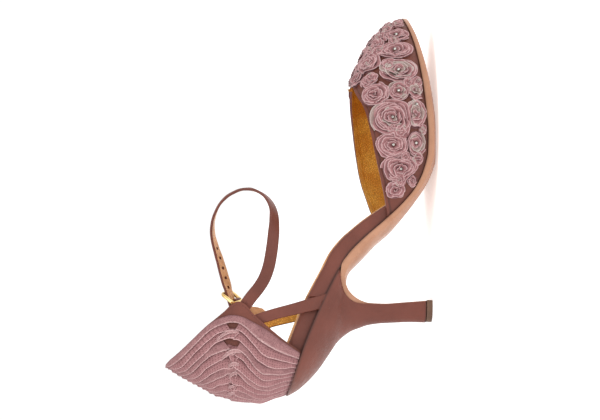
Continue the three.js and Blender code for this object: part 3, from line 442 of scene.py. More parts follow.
def makeOrganza(name, look):
    material, tree, shader, coords = newMaterial(
        name, Roughness=0.6, Specular_IOR_Level=0.3, Sheen_Weight=0.22, Sheen_Roughness=0.35,
        Sheen_Tint=look["sheen"], Alpha=look["alpha"])
    tone = addTone(tree, coords, look)
    rim = addNode(tree, "Attribute", attribute_name="rim")
    paler = addNode(tree, "Mix", {0: rim.outputs["Fac"], 6: tone.outputs["Color"], 7: look["rim"]},
                    data_type="RGBA")
    dots = useGroup(tree, "dots", {"Vector": coords.outputs["UV"], "Pitch": look["pitch"],
                                   "Dot": look["dot"]})
    grain = addNode(tree, "TexNoise", {0: coords.outputs["Object"], "Scale": 2100.0, "Detail": 2.0})
    speck = addNode(tree, "MapRange", {0: grain.outputs["Fac"], 1: 0.46, 2: 0.66, 3: 0.0,
                                       4: look["speckle"]})
    faint = addNode(tree, "Math", {0: dots.outputs["Dots"], 1: look["dotShare"], 2: speck.outputs[0]},
                    operation="MULTIPLY_ADD", use_clamp=True)
    dotted = addNode(tree, "Mix", {0: faint.outputs[0], 6: paler.outputs[2], 7: look["seam"]},
                     data_type="RGBA")
    tree.links.new(dotted.outputs[2], shader.inputs["Base Color"])
    addBump(tree, shader, dots.outputs["Height"], 0.12)
    return material


def makeLeather(name, look):
    material, tree, shader, coords = newMaterial(
        name, Roughness=look["roughness"], Metallic=look["metal"], Coat_Weight=look["coat"],
        Coat_Roughness=0.35)
    tone = addTone(tree, coords, look)
    grain = useGroup(tree, "grain", {"Vector": coords.outputs["Object"], "Cells": look["cells"]})
    lower = addNode(tree, "Math", {0: grain.outputs["Valley"], 1: look["valley"]}, operation="MULTIPLY")
    valley = addNode(tree, "Mix", {0: lower.outputs[0], 6: tone.outputs["Color"], 7: look["seam"]},
                     data_type="RGBA")
    tree.links.new(valley.outputs[2], shader.inputs["Base Color"])
    addRoughness(tree, shader, tone.outputs["Cloudy"], (0.0, 1.0),
                 (look["roughness"] + 0.08, look["roughness"] - 0.05))
    addBump(tree, shader, grain.outputs["Height"], look["depth"])
    return material


def makeMetal(name, look):
    material, tree, shader, coords = newMaterial(name, Roughness=look["roughness"], Metallic=1.0)
    tone = addTone(tree, coords, look)
    tree.links.new(tone.outputs["Color"], shader.inputs["Base Color"])
    scratch = addNode(tree, "TexNoise", {0: coords.outputs["Object"], "Scale": 1400.0, "Detail": 3.0})
    addRoughness(tree, shader, scratch.outputs["Fac"], (0.3, 0.7),
                 (look["roughness"] - 0.05, look["roughness"] + 0.1))
    addBump(tree, shader, scratch.outputs["Fac"], 0.008)
    return material


# Each look's seam colour is the dark colour of the painted shade, mixed in through the shade attribute; it
# also darkens the net's holes, the speckle and the grain's valleys.
materials = {
    "satin": makeSatin("mauveSatin", {
        "dark": tint(94, 46, 34), "light": tint(112, 58, 45), "seam": tint(48, 22, 16), "cloud": 45.0,
        "sheen": tint(190, 128, 112), "roughness": 0.46, "metal": 0.08, "threads": 2600.0}),
    "organza": makeOrganza("pinkOrganza", {
        "dark": tint(146, 101, 102), "light": tint(168, 121, 122), "seam": tint(96, 54, 56), "cloud": 200.0,
        "rim": tint(206, 168, 167), "sheen": tint(220, 186, 186), "pitch": 660.0, "dot": 0.25,
        "dotShare": 0.6, "alpha": 1.0, "speckle": 0.5}),
    "sheer": makeOrganza("sheerOrganza", {
        "dark": tint(140, 98, 99), "light": tint(166, 122, 122), "seam": tint(96, 58, 60), "cloud": 200.0,
        "rim": tint(206, 172, 170), "sheen": tint(220, 186, 186), "pitch": 560.0, "dot": 0.3,
        "dotShare": 0.05, "alpha": 1.0, "speckle": 0.7}),
    "ribbon": makeOrganza("pinkRibbon", {
        "dark": tint(160, 108, 109), "light": tint(196, 143, 144), "seam": tint(92, 48, 50), "cloud": 260.0,
        "rim": tint(240, 206, 206), "sheen": tint(226, 194, 194), "pitch": 1200.0, "dot": 0.32,
        "dotShare": 0.2, "alpha": 0.86, "speckle": 0.25}),
    "greyRibbon": makeOrganza("greyRibbon", {
        "dark": tint(166, 138, 132), "light": tint(194, 174, 166), "seam": tint(112, 76, 72),
        "cloud": 260.0,
        "rim": tint(226, 216, 208), "sheen": tint(220, 216, 208), "pitch": 1200.0, "dot": 0.32,
        "dotShare": 0.2, "alpha": 0.86, "speckle": 0.25}),
    "goldLining": makeLeather("goldLining", {
        "dark": tint(210, 134, 36), "light": tint(255, 208, 96), "seam": tint(150, 84, 20), "cloud": 60.0,
        "roughness": 0.38, "metal": 0.2, "coat": 0.0, "cells": 900.0, "valley": 0.6, "depth": 0.12}),
    "strapLining": makeLeather("strapLining", {
        "dark": tint(184, 132, 88), "light": tint(222, 170, 122), "seam": tint(110, 66, 40), "cloud": 120.0,
        "roughness": 0.5, "metal": 0.0, "coat": 0.0, "cells": 1500.0, "valley": 0.3, "depth": 0.03}),
    "soleLeather": makeLeather("soleLeather", {
        "dark": tint(164, 114, 84), "light": tint(184, 134, 104), "seam": tint(110, 66, 40), "cloud": 70.0,
        "roughness": 0.42, "metal": 0.0, "coat": 0.1, "cells": 1700.0, "valley": 0.12, "depth": 0.012}),
    "heelTip": makeLeather("heelTip", {
        "dark": tint(84, 58, 42), "light": tint(108, 78, 58), "seam": tint(50, 34, 24), "cloud": 150.0,
        "roughness": 0.55, "metal": 0.0, "coat": 0.0, "cells": 2200.0, "valley": 0.2, "depth": 0.02}),
    "brass": makeMetal("paleBrass", {
        "dark": tint(196, 156, 92), "light": tint(240, 214, 154), "seam": tint(90, 62, 30), "cloud": 260.0,
        "roughness": 0.16}),
    "crystal": makeMetal("silverCrystal", {
        "dark": tint(112, 106, 100), "light": tint(214, 212, 206), "seam": tint(60, 50, 48), "cloud": 900.0,
        "roughness": 0.16}),
    "thread": makeSatin("sewingThread", {
        "dark": tint(84, 44, 34), "light": tint(102, 58, 46), "seam": tint(50, 26, 20), "cloud": 300.0,
        "sheen": tint(170, 120, 104), "roughness": 0.5, "metal": 0.0, "threads": 4000.0}),
}
print("materials made:", len(materials))


# Mesh work: a flat grid is the pattern piece, and wrap() lays it in place.
def only(piece):
    bpy.ops.object.select_all(action="DESELECT")
    piece.select_set(True)
    bpy.context.view_layer.objects.active = piece


def editAll(piece, *steps):
    only(piece)
    bpy.ops.object.mode_set(mode="EDIT")
    for step in steps:
        bpy.ops.mesh.select_all(action="SELECT")
        step()
    bpy.ops.object.mode_set(mode="OBJECT")


def mergeNear():
    bpy.ops.mesh.remove_doubles(threshold=0.004 * mm)


def turnOut():
    bpy.ops.mesh.normals_make_consistent(inside=False)


def fillEnds():
    bpy.ops.mesh.select_all(action="DESELECT")
    bpy.ops.mesh.select_non_manifold(extend=False)
    bpy.ops.mesh.fill_holes(sides=0)


def closeEnds(piece):  # a tube from wrap() becomes a closed form that faces outwards
    editAll(piece, mergeNear, fillEnds)
    editAll(piece, turnOut)


def wrap(name, columns, rows, place, size=(100, 100), zone=None, slots=()):
    bpy.ops.object.select_all(action="DESELECT")
    bpy.ops.mesh.primitive_grid_add(x_subdivisions=columns, y_subdivisions=rows, size=1)
    piece = bpy.context.object
    piece.name = name
    piece.data.name = name
    for key in slots:
        piece.data.materials.append(materials[key])
    cuts = piece.data.uv_layers.active.data
    if zone:
        for face in piece.data.polygons:
            face.material_index = zone(face.center.x + 0.5, face.center.y + 0.5)
    for v in piece.data.vertices:
        v.co = place(v.co.x + 0.5, v.co.y + 0.5)
    for cut in cuts:
        cut.uv = (cut.uv[0] * size[0] * mm, cut.uv[1] * size[1] * mm)
    piece.data.update()
    return piece


def modify(piece, kind, **settings):
    only(piece)
    bpy.ops.object.modifier_add(type=kind)
    modifier = piece.modifiers[-1]
    for key, value in settings.items():
        setattr(modifier, key, value)
    bpy.ops.object.modifier_apply(modifier=modifier.name)


def makeWall(piece, bevel, angle):  # from the outer face inwards, with the lining on the inside
    modify(piece, "SOLIDIFY", thickness=wallThick * mm, offset=-1, use_rim=True, material_offset=1,
           material_offset_rim=0)
    modify(piece, "BEVEL", width=bevel * mm, segments=3, limit_method="ANGLE",
           angle_limit=math.radians(angle))


def faceAway(piece, inside):
    total = sum((f.center - inside(f.center)).dot(f.normal) * f.area for f in piece.data.polygons)
    if total < 0:
        editAll(piece, bpy.ops.mesh.flip_normals)


def paint(piece, name, value):
    layer = piece.data.attributes.new(name, "FLOAT", "POINT")
    for i, v in enumerate(piece.data.vertices):
        layer.data[i].value = value(i, v.co)


def alongPattern(piece, axis, width):  # where each point lies on its pattern piece, from 0 to 1
    values = [0.0] * len(piece.data.vertices)
    for loop, cell in zip(piece.data.loops, piece.data.uv_layers.active.data):
        values[loop.vertex_index] = min(1, cell.uv[axis] / (width * mm))
    return values


def finish(piece, replaced=(), angle=40):
    only(piece)
    bpy.ops.object.shade_smooth_by_angle(angle=math.radians(angle))
    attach(piece, "root")
    if replaced:
        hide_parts(*replaced)
    return piece


def joined(pieces, name):
    only(pieces[0])
    for piece in pieces[1:]:
        piece.select_set(True)
    bpy.ops.object.join()
    pieces[0].name = name
    pieces[0].data.name = name
    return pieces[0]


# The camera looks at the inner side of the shoe, rolled so that the toe points up.
cameraSet = {"azimuth": -9, "elevation": 3, "roll": 1.0, "distance": 1100, "target": (115, 0, 79.2),
             "lens": 110}


def makeCamera():
    a, e, r = [math.radians(cameraSet[k]) for k in ("azimuth", "elevation", "roll")]
    back = Vector((math.sin(a) * math.cos(e), -math.cos(a) * math.cos(e), math.sin(e)))
    right = Vector((math.cos(a), math.sin(a), 0))
    up = back.cross(right)
    towardsToe = right * math.cos(r) + up * math.sin(r)
    towardsAnkle = up * math.cos(r) - right * math.sin(r)
    place = spot(*cameraSet["target"]) + back * cameraSet["distance"] * mm
    bpy.ops.object.camera_add(location=place)
    camera = bpy.context.object
    turn = Matrix((-towardsAnkle, towardsToe, back)).transposed()
    camera.rotation_euler = turn.to_euler()
    camera.data.lens = cameraSet["lens"]
    camera.data.sensor_width = 36
    bpy.context.scene.camera = camera
    return back, right, up


def makeStudio(back, right, up):
    world = bpy.data.worlds.new("paleRoom")
    bpy.context.scene.world = world
    world.use_nodes = True
    background = world.node_tree.nodes["Background"]
    background.inputs["Color"].default_value = (1, 1, 1, 1)
    background.inputs["Strength"].default_value = studio["room"]
    target = spot(*cameraSet["target"])
    for name, light in studio["lights"].items():
        way = (back * light["back"] + right * light["right"] + up * light["up"]).normalized()
        place = target + way * light["far"]
        bpy.ops.object.light_add(type="AREA", location=place)
        lamp = bpy.context.object
        lamp.name = name
        lamp.data.energy = light["power"]
        lamp.data.size = light["size"]
        lamp.rotation_euler = (place - target).to_track_quat("Z", "Y").to_euler()
    bpy.ops.mesh.primitive_plane_add(size=studio["floor"], location=(0, 0, 0))
    floor = bpy.context.object
    floor.name = "pale_floor"
    material, _, shader, _ = newMaterial("paleFloor", Roughness=0.9, Specular_IOR_Level=0.1)
    shader.inputs["Base Color"].default_value = tint(254, 254, 254)
    shader.inputs["Emission Color"].default_value = (1, 1, 1, 1)
    shader.inputs["Emission Strength"].default_value = studio["glow"]
    floor.data.materials.append(material)
    bpy.context.scene.view_settings.view_transform = "Standard"


studio = {
    "room": 1.06, "floor": 8, "glow": 0.4,
    "lights": {
        "keyLight": {"back": 1.0, "right": -0.3, "up": 1.0, "far": 1.6, "power": 6.2, "size": 1.0},
        "fillLight": {"back": 1.0, "right": 0.7, "up": -0.1, "far": 1.8, "power": 2, "size": 1.4},
    },
}
makeStudio(*makeCamera())
print("camera, light and floor placed")


# Vamp: one wall round the toe, from the sole to the top edge.
vampLook = {"back": 96, "toe": 48, "rows": 34, "edgeRows": 12, "edgeBand": 3.6, "roll": 0.22, "groove": 0.2,
            "seam": 2.2}


def aroundAt(x, dip=0):  # where the top edge cuts the ring of the last
    level = toplineZ(x) - dip
    if level >= crownTop(x):
        return 0.5
    low, high = 0.0, 0.5
    for _ in range(24):
        middle = (low + high) / 2
        if lastPoint(x, middle)[2] < level:
            low = middle
        else:
            high = middle
    return low


def crossing(test, low, high):
    for _ in range(30):
        middle = (low + high) / 2
        low, high = (low, middle) if test(middle) else (middle, high)
    return high


throatX = crossing(lambda x: toplineZ(x) >= crownTop(x), 170, 193)
vampRearX = crossing(lambda x: toplineZ(x) > featherZ(x) + gap + 0.4, 104, 115)
innerDip = along(table("x dip", [(vampRearX, 0), (113, 1.8), (120, 3.0), (138, 3.6), (152, 3.3), (168, 2.8),
                                 (175, 1.8), (throatX - 12, 0.8), (throatX - 7, 0.1), (throatX - 5, 0)]),
                 "x", "dip")


def edgeAround(x, side):
    return aroundAt(x, innerDip(x) if side < 0 else 0)


def vampEdge(side, count):  # the top edge of one side, from the rear to the throat, evenly spaced
    fine = [mix(vampRearX, throatX, i / 400) for i in range(401)]
    points = []
    for x in fine:
        around = edgeAround(x, side)
        points.append(lastPoint(x, around if side < 0 else 1 - around))
    line = Line(points)
    return [line.walk(line.whole * i / count) for i in range(count + 1)]


def makeVamp():
    look = vampLook
    backX = [p[0] for p in vampEdge(-1, look["back"])]
    crest = Line([(x, crownTop(x)) for x in [mix(throatX, 234.4, i / 300) for i in range(301)]])
    toeX = []
    for i in range(1, look["toe"] + 1):
        share = i / look["toe"]
        toeX.append(crest.walk(crest.whole * (0.6 * share + 0.4 * share ** 2))[0])
    oneSide = [(x, -1) for x in backX + toeX]
    stations = oneSide + [(x, 1) for x, _ in reversed(oneSide[:-1])]
    columns = len(stations) - 1
    rings = []
    for x, side in stations:
        around = edgeAround(x, side)
        line = Line([lastPoint(x, around * i / 60 if side < 0 else 1 - around * i / 60) for i in range(61)])
        ring = []
        for row in range(look["rows"] + 1):
            left = look["rows"] - row
            band = min(look["edgeBand"], line.whole * 0.5)
            if left <= look["edgeRows"]:
                below = band * left / look["edgeRows"]
            else:
                share = (left - look["edgeRows"]) / (look["rows"] - look["edgeRows"])
                below = band + (line.whole - band) * share
            point = line.walk(line.whole - below)
            if x >= 234.39:
                point = (234.55, 0, point[2])
            ring.append(spot(*point))
        rings.append(ring)
    piece = wrap("satin_vamp", columns, look["rows"],
                 lambda u, v: rings[round(u * columns)][round(v * look["rows"])], size=(300, 60),
                 slots=("satin", "goldLining"))
    editAll(piece, mergeNear)
    faceAway(piece, lambda c: Vector((c.x, -0.002, 0.02)))
    edge = [spot(*p) for side in (-1, 1) for p in vampEdge(side, 400)]
    tree = KDTree(len(edge))
    for i, p in enumerate(edge):
        tree.insert(p, i)
    tree.balance()
    moves = []
    for v in piece.data.vertices:
        distance = tree.find(v.co)[2] / mm
        rise = look["roll"] * bump(distance, 1.0) - look["groove"] * bump(distance - look["seam"], 0.4)
        rise += 0.05 * noise.noise(v.co * 120)
        moves.append(v.normal * rise * mm)
    for v, move in zip(piece.data.vertices, moves):
        v.co += move
    makeWall(piece, 0.45, 55)

    def shade(i, co):
        distance = tree.find(co)[2] / mm
        x = co.x / mm + centre["x"]
        foot = bump(co.z / mm - featherZ(x) - gap, 1.4)
        return min(1, 0.5 * bump(distance - look["seam"], 0.5) + 0.55 * foot)

    paint(piece, "shade", shade)
    return finish(piece, ["vamp"])


vamp = makeVamp()
print("vamp wrapped")


# A row of stitches laid on a piece, a step inside an edge.
stitchLook = {"length": 1.25, "pitch": 1.9, "thick": 0.22}


def makeStitches(name, carrier, lines):
    bpy.ops.object.select_all(action="DESELECT")
    stitches = []
    for line in lines:
        path = Line([tuple(p) for p in line])
        count = int(path.whole / (stitchLook["pitch"] * mm))
        for i in range(count):
            middle = (i + 0.5) / count * path.whole
            a, b = [Vector(path.walk(middle + s * 0.5 * mm)) for s in (-1, 1)]
            _, at, normal, _ = carrier.closest_point_on_mesh((a + b) / 2)
            heading = (b - a).normalized()
            bpy.ops.mesh.primitive_uv_sphere_add(segments=8, ring_count=5, radius=0.5 * mm)
            stitch = bpy.context.object
            stitch.data.materials.append(materials["thread"])
            sideways = normal.cross(heading).normalized()
            turn = Matrix((heading, sideways, normal)).transposed().to_4x4()
            width = stitchLook["thick"] * 1.6
            size = Matrix.Diagonal((stitchLook["length"], width, width, 1))
            stitch.data.transform(Matrix.Translation(at + normal * 0.02 * mm) @ turn @ size)
            stitches.append(stitch)
    piece = joined(stitches, name)
    return finish(piece, angle=80)


def insetLine(points, inset, towards):  # the line moved sideways, towards a point
    moved = []
    for i, p in enumerate(points):
        heading = (points[min(i + 1, len(points) - 1)] - points[max(i - 1, 0)]).normalized()
        away = towards(p) - p
        away -= heading * away.dot(heading)
        moved.append(p + away.normalized() * inset * mm)
    return moved


def vampStitches():
    lines = []
    for side in (-1, 1):
        edge = [spot(*p) for p in vampEdge(side, 120)]
        seat = lambda p, side=side: Vector((min(p.x + 0.004, 0.08), side * 0.034, p.z - 0.012))
        lines.append(insetLine(edge[2:-4], vampLook["seam"], seat))
    return makeStitches("vamp_stitches", vamp, lines)


vampStitches()
print("vamp stitched")


# Ribbon roses.
sideRoses = table("x up along across gem grey", [
    (219, 9.4, 4.8, 7.2, 1, 0), (208.4, 12.8, 5.8, 10.2, 1, 0), (213.5, 23.5, 6.2, 6.0, 0, 0),
    (194.6, 13.4, 7.6, 11.2, 1, 0.6), (201, 31.5, 6.6, 8.0, 0, 0), (192, 42.5, 5.0, 5.6, 0, 0),
    (188.4, 32.6, 4.8, 5.0, 0, 0), (179.6, 29.4, 7.6, 8.6, 0, 0), (181.2, 15.2, 6.0, 6.4, 1, 0.4),
    (181.6, 5.6, 6.0, 4.4, 0, 0.8), (164.6, 20.4, 10.4, 12.8, 1, 0.3), (167, 6.9, 8.8, 5.6, 0, 0.8),
    (148.6, 20.4, 7.0, 10.2, 1, 0), (149.8, 7.2, 7.2, 5.4, 1, 0.5), (135.2, 13.6, 8.0, 10.4, 1, 0),
    (129, 4.4, 3.2, 3.0, 0, 0), (123.4, 10.6, 5.2, 5.4, 0, 0),
])
toeRoses = table("x along across gem grey", [
    (198.2, 7.0, 13.4, 0, 0), (209.4, 6.2, 12.6, 0, 0), (219.4, 5.6, 11.4, 0, 0), (227.6, 4.2, 9.4, 0, 0),
])
buds = table("x z along across gem", [  # small roses between the large ones and over the tip
    (227.2, 21.5, 3.6, 3.0, 0), (223.6, 27.4, 3.8, 3.2, 0), (217.6, 31.8, 4.2, 3.6, 0),
    (209.6, 37.0, 4.0, 3.4, 0), (201.4, 41.5, 3.6, 3.0, 0), (187.2, 12.4, 3.4, 2.6, 0),
    (158.0, 27.5, 3.2, 2.8, 0), (172.6, 13.4, 2.8, 2.6, 1), (141.4, 19.6, 3.0, 2.8, 0),
    (157.4, 9.9, 3.0, 2.2, 0), (129.0, 22.4, 4.2, 3.4, 0), (198.0, 28.6, 5.0, 4.8, 0),
    (208.4, 33.2, 4.0, 3.8, 0), (156.6, 22.6, 4.4, 4.8, 0), (186.6, 17.6, 3.6, 3.6, 0),
    (141.0, 12.6, 3.8, 3.0, 0), (214.6, 24.6, 3.2, 3.0, 0), (190.6, 46.6, 3.4, 3.6, 0),
])
roseLook = {"height": 3.0, "hem": 1.1, "seat": 0.25, "ringEvery": 2.0, "thread": 0.14, "rows": 6,
            "gem": 1.1, "overhang": 1.1, "lean": 2.1, "turns": 48, "spans": (1.5, 2.9), "loose": 2.4,
            "greyShare": 0.6}
budLook = {"grey": 0.3, "raised": 0.7}


def roseReach(rose, angle):
    return 1 / math.hypot(math.cos(angle) / rose["along"], math.sin(angle) / rose["across"])


def roseEdge(rose, everyRose, angle):
    reach = roseReach(rose, angle)
    down = -math.sin(angle)
    if rose["side"] != 0 and down > 0:
        reach = min(reach, (rose["up"] - roseLook["hem"]) / down)
    for other in everyRose:
        if other is rose:
            continue
        apart = other["at"] - rose["at"]
        if apart.length > 30:
            continue
        way = math.atan2(apart.dot(rose["round"]), apart.dot(rose["fore"]))
        back = math.atan2(-apart.dot(other["round"]), -apart.dot(other["fore"]))
        own = roseReach(rose, way)
        share = own / (own + roseReach(other, back))
        facing = math.cos(angle - way)
        if facing > 0.15:
            reach = min(reach, apart.length * share / facing)
    return reach


def onRose(rose, angle, reach, lift):
    fore, roundWay = math.cos(angle) * reach, math.sin(angle) * reach
    surface = vampFrame(rose["x"] + fore * rose["stride"], rose["up"] + roundWay + fore * rose["drift"],
                        rose["side"])
    return spot(*(surface["at"] + surface["normal"] * (roseLook["seat"] + rose.get("raised", 0) + lift)))


def roseLeaf(rose, reachAt, shape, size):  # one length of ribbon, standing on its lower edge
    look = roseLook
    columns = max(10, round(shape["span"] * 7))

    def place(u, v):
        angle = shape["begin"] + shape["span"] * u
        radius = mix(shape["from"], shape["to"], u)
        wave = shape["wave"] * noise.noise(Vector((angle * 1.3, shape["seed"], 0)))
        wave += 0.35 * shape["wave"] * noise.noise(Vector((angle * 4.0, shape["seed"], 5)))
        lean = shape["step"] * look["lean"] * (1 - v) ** 1.3
        radius = max(radius + wave * (0.3 + 0.7 * v) - lean, 0.05)
        ends = math.sin(math.pi * min(max(u, 0.04), 0.96)) ** 0.35
        crest = mix(1.0, 0.45, max(0, radius - 0.55) / 0.5)
        lift = mix(0.1, shape["high"] * crest * ends, math.sin(v * math.pi / 2) ** 0.8)
        lift += 0.18 * noise.noise(Vector((angle * 3.0, shape["seed"], 9))) * v
        reach = reachAt(angle) * radius
        off = shape["off"]
        flat = Vector((math.cos(angle) * reach + off[0], math.sin(angle) * reach + off[1]))
        return onRose(rose, math.atan2(flat.y, flat.x), flat.length, lift)

    leaf = wrap("leaf", columns, look["rows"], place, size=(shape["span"] * size * shape["to"], 3),
                slots=("greyRibbon" if shape["grey"] else "ribbon",))
    values = alongPattern(leaf, 1, 3)
    paint(leaf, "rim", lambda i, co: min(1, max(0, (values[i] - 0.8) / 0.2)))
    # The shade attribute holds the length's own random tone, plus painted shade that darkens it towards its
    # foot, deep in the rose.
    paint(leaf, "shade", lambda i, co: min(1, shape["tone"] + shape["deep"] * (1 - values[i]) ** 1.7))
    modify(leaf, "SOLIDIFY", thickness=look["thread"] * mm, offset=0)
    return leaf


def makeBead(rose, radius, squash, slot, lift):
    bpy.ops.object.select_all(action="DESELECT")
    bpy.ops.mesh.primitive_ico_sphere_add(subdivisions=2, radius=radius * mm)
    bead = bpy.context.object
    bead.data.materials.append(materials[slot])
    turn = rose["normal"].to_track_quat("Z", "Y").to_matrix().to_4x4()
    bead.data.transform(Matrix.Translation(onRose(rose, 0, 0, lift)) @ turn
                        @ Matrix.Diagonal((1, 1, squash, 1)))
    paint(bead, "rim", lambda i, co: 0.0)
    paint(bead, "shade", lambda i, co: 0.0)
    return bead


def makeRose(rose, everyRose):
    look = roseLook
    turns = look["turns"]
    raw = [roseEdge(rose, everyRose, 2 * math.pi * i / turns) * look["overhang"] for i in range(turns)]
    edge = [sum(raw[(i + k) % turns] * w for k, w in ((-2, 1), (-1, 2), (0, 3), (1, 2), (2, 1))) / 9
            for i in range(turns)]

    def reachAt(angle):
        place = (angle / (2 * math.pi)) % 1 * turns
        i = int(place) % turns
        return mix(edge[i], edge[(i + 1) % turns], place - int(place))

    mean = sum(edge) / turns
    tall = look["height"] * (0.5 + 0.5 * min(rose["along"] + rose["across"], 20) / 20)
    if rose["side"] == 0:
        tall *= 0.85
    rings = max(2.5, min(6.5, mean / look["ringEvery"]))
    inmost = max(2.1 / mean, 0.16) if rose["gem"] else 0.1
    step = (0.98 - inmost) / rings
    parts = []
    full = rose["side"] == 0 or rose["name"] == "bud"  # over the toe the ribbon hides the satin
    # A sheet under the ribbons, darkened as painted shade between them; where the ribbon hides the satin it
    # is paler and raised.
    shadedPad = wrap("shadedPad", 24, 5, lambda u, v: onRose(rose, 2 * math.pi * u,
                                                 reachAt(2 * math.pi * u) * (1.0 if full else 0.95) * v,
                                                 tall * (0.5 if full else 0.2) * (1 - v ** 3)),
               size=(40, 10), slots=("ribbon",))
    paint(shadedPad, "rim", lambda i, co: 0.0)
    paint(shadedPad, "shade", lambda i, co: 0.2 if full else 0.65)
    parts.append(shadedPad)
    shapes = []
    angle = random.uniform(0, 2 * math.pi)
    radius = inmost
    while radius < 0.99:  # the roll, length after length, from the centre outwards
        span = random.uniform(*look["spans"])
        gain = step * span / (2 * math.pi)
        shapes.append({"begin": angle, "span": span * 1.12, "from": radius - 0.1 * step,
                       "to": min(radius + gain * 1.15, 1.0), "high": tall * random.uniform(0.85, 1.1),
                       "wave": step * 0.7,
                       "off": (random.uniform(-0.35, 0.35), random.uniform(-0.35, 0.35)),
                       "tone": random.uniform(0, 0.28)})
        angle += span
        radius += gain
    for _ in range(round(rings * look["loose"])):  # loose lengths across the roll
        reach = random.uniform(0.45, 0.95)
        shapes.append({"begin": random.uniform(0, 6.3), "span": random.uniform(0.9, 1.7),
                       "from": reach + random.uniform(-0.14, 0.14),
                       "to": reach + random.uniform(-0.14, 0.12),
                       "high": tall * random.uniform(0.9, 1.15), "wave": step * 0.5,
                       "off": (random.uniform(-0.6, 0.6), random.uniform(-0.6, 0.6)),
                       "tone": random.uniform(0, 0.2)})
    for shape in shapes:
        # deep: how much painted shade falls at the foot of each length
        shape.update({"seed": random.random() * 50, "step": step, "deep": 0.3 if full else 0.85,
                      "grey": random.random() < look["greyShare"] * rose["grey"]})
        parts.append(roseLeaf(rose, reachAt, shape, mean))
    if rose["gem"]:
        parts += [makeBead(rose, look["gem"] * 1.35, 0.35, "thread", tall * 0.42),
                  makeBead(rose, look["gem"], 1, "crystal", tall * 0.62)]
    return joined(parts, "ribbon_" + rose["name"])


def upAt(x, z, side):  # how far round the last the height z lies
    low, high = 0.0, 30.0
    for _ in range(22):
        middle = (low + high) / 2
        low, high = (middle, high) if vampPoint(x, middle, side)[2] < z else (low, middle)
    return low


def makeRoses():
    placed = []
    for side, word in ((-1, "medial"), (1, "lateral")):
        for i, row in enumerate(sideRoses):
            placed.append({**row, "side": side, "name": "rose_%s_%d" % (word, i + 1)})
    for i, row in enumerate(toeRoses):
        placed.append({**row, "up": 0, "side": 0, "name": "rose_toe_%d" % (i + 1)})
    for rose in placed:
        rose.update(vampFrame(rose["x"], rose["up"], rose["side"]))
    for rose in placed:
        finish(makeRose(rose, placed), [rose["name"]], angle=70)
    for side, word in ((-1, "medial"), (1, "lateral")):
        small = []
        for row in buds:
            bud = {**row, **budLook, "up": upAt(row["x"], row["z"], side), "side": side, "name": "bud"}
            bud.update(vampFrame(bud["x"], bud["up"], side))
            small.append(makeRose(bud, []))
        finish(joined(small, "ribbon_buds_" + word), angle=70)
    print("roses rolled:", len(placed), "and buds:", 2 * len(buds))


makeRoses()


# Counter, with its pleats.
counterLook = {"columns": 90, "rows": 60, "inward": 2.0, "pleats": 12, "seat": 0.55, "bend": 118,
               "sewn": 1.7}
outerTab = along(table("z out", [(86, 0), (91, 0.3), (94.5, 5), (97, 12.5), (99, 15), (102, 13.6),
                                 (107, 9.8), (111, 5.4), (115, 0.6), (118, 0)]),
                 "z", "out")  # the outer side reaches further forward, under the buckle's strap


def seatLevel(place):
    z = 82
    for _ in range(8):
        z = featherZ(place(z)[0]) + gap
    return z


def makeCounter():
    back = along(counterRows, "row", "back")
    front = along(counterRows, "row", "front")
    curves = {}

    def curveAt(z):
        key = round(z * 20)
        if key not in curves:
            curves[key] = rearCurve(key / 20, counterLook["inward"])
        return curves[key]

    def place(u, v):
        way = u * 2 - 1
        share = abs(way)

        def at(z):
            curve = curveAt(z)
            front = counterFront(z) + (outerTab(z) if way > 0 else 0)
            return curve.walk(lengthTo(curve, front) * share)

        row = v * 12
        z = mix(back(row), front(row), share ** 1.5)
        if row < 1:
            z = mix(seatLevel(at), z, row)
        x, y = at(z)
        return spot(x, math.copysign(y, way), z)

    piece = wrap("satin_counter", counterLook["columns"], counterLook["rows"], place, size=(150, 80),
                 slots=("satin", "strapLining"))
    faceAway(piece, lambda c: Vector((-0.08, 0, c.z)))
    makeWall(piece, 0.4, 50)
    return finish(piece, ["counter"])


def counterStitches(carrier):
    lines = []
    for side in (-1, 1):
        line = []
        for z in range(88, 155, 2):
            curve = rearCurve(z, counterLook["inward"])
            front = counterFront(z) + (outerTab(z) if side > 0 else 0)
            x, y = curve.walk(max(0, lengthTo(curve, front) - counterLook["sewn"]))
            line.append(spot(x, side * y, z))
        lines.append(line)
    return makeStitches("counter_stitches", carrier, lines)


counterStitches(makeCounter())
print("counter wrapped and stitched")


def pleatPoint(strip, rise, inward):
    bendCurve = rearCurve(counterLook["bend"], inward)
    bendLength = lengthTo(bendCurve, pleatFront(counterLook["bend"]))
    share = strip / counterLook["pleats"]
    if rise <= 1:
        def at(z):
            curve = rearCurve(z, inward)
            return curve.walk(lengthTo(curve, pleatFront(z)) * (1 - share))
        foot = seatLevel(at) + gap
        z = foot + (counterLook["bend"] - foot) * rise
        x, y = at(z)
        return x, y, z
    behind = bendLength * share
    low, high = counterLook["bend"], 157.2
    for _ in range(18):
        middle = (low + high) / 2
        if lengthTo(rearCurve(middle, inward), pleatFront(middle)) > behind:
            low = middle
        else:
            high = middle
    t = rise - 1
    z = counterLook["bend"] + (low - counterLook["bend"]) * (1 - (1 - t) ** 1.6)
    curve = rearCurve(z, inward)
    x, y = curve.walk(max(0, lengthTo(curve, pleatFront(z)) - behind))
    return x, (0 if t >= 1 else y), z


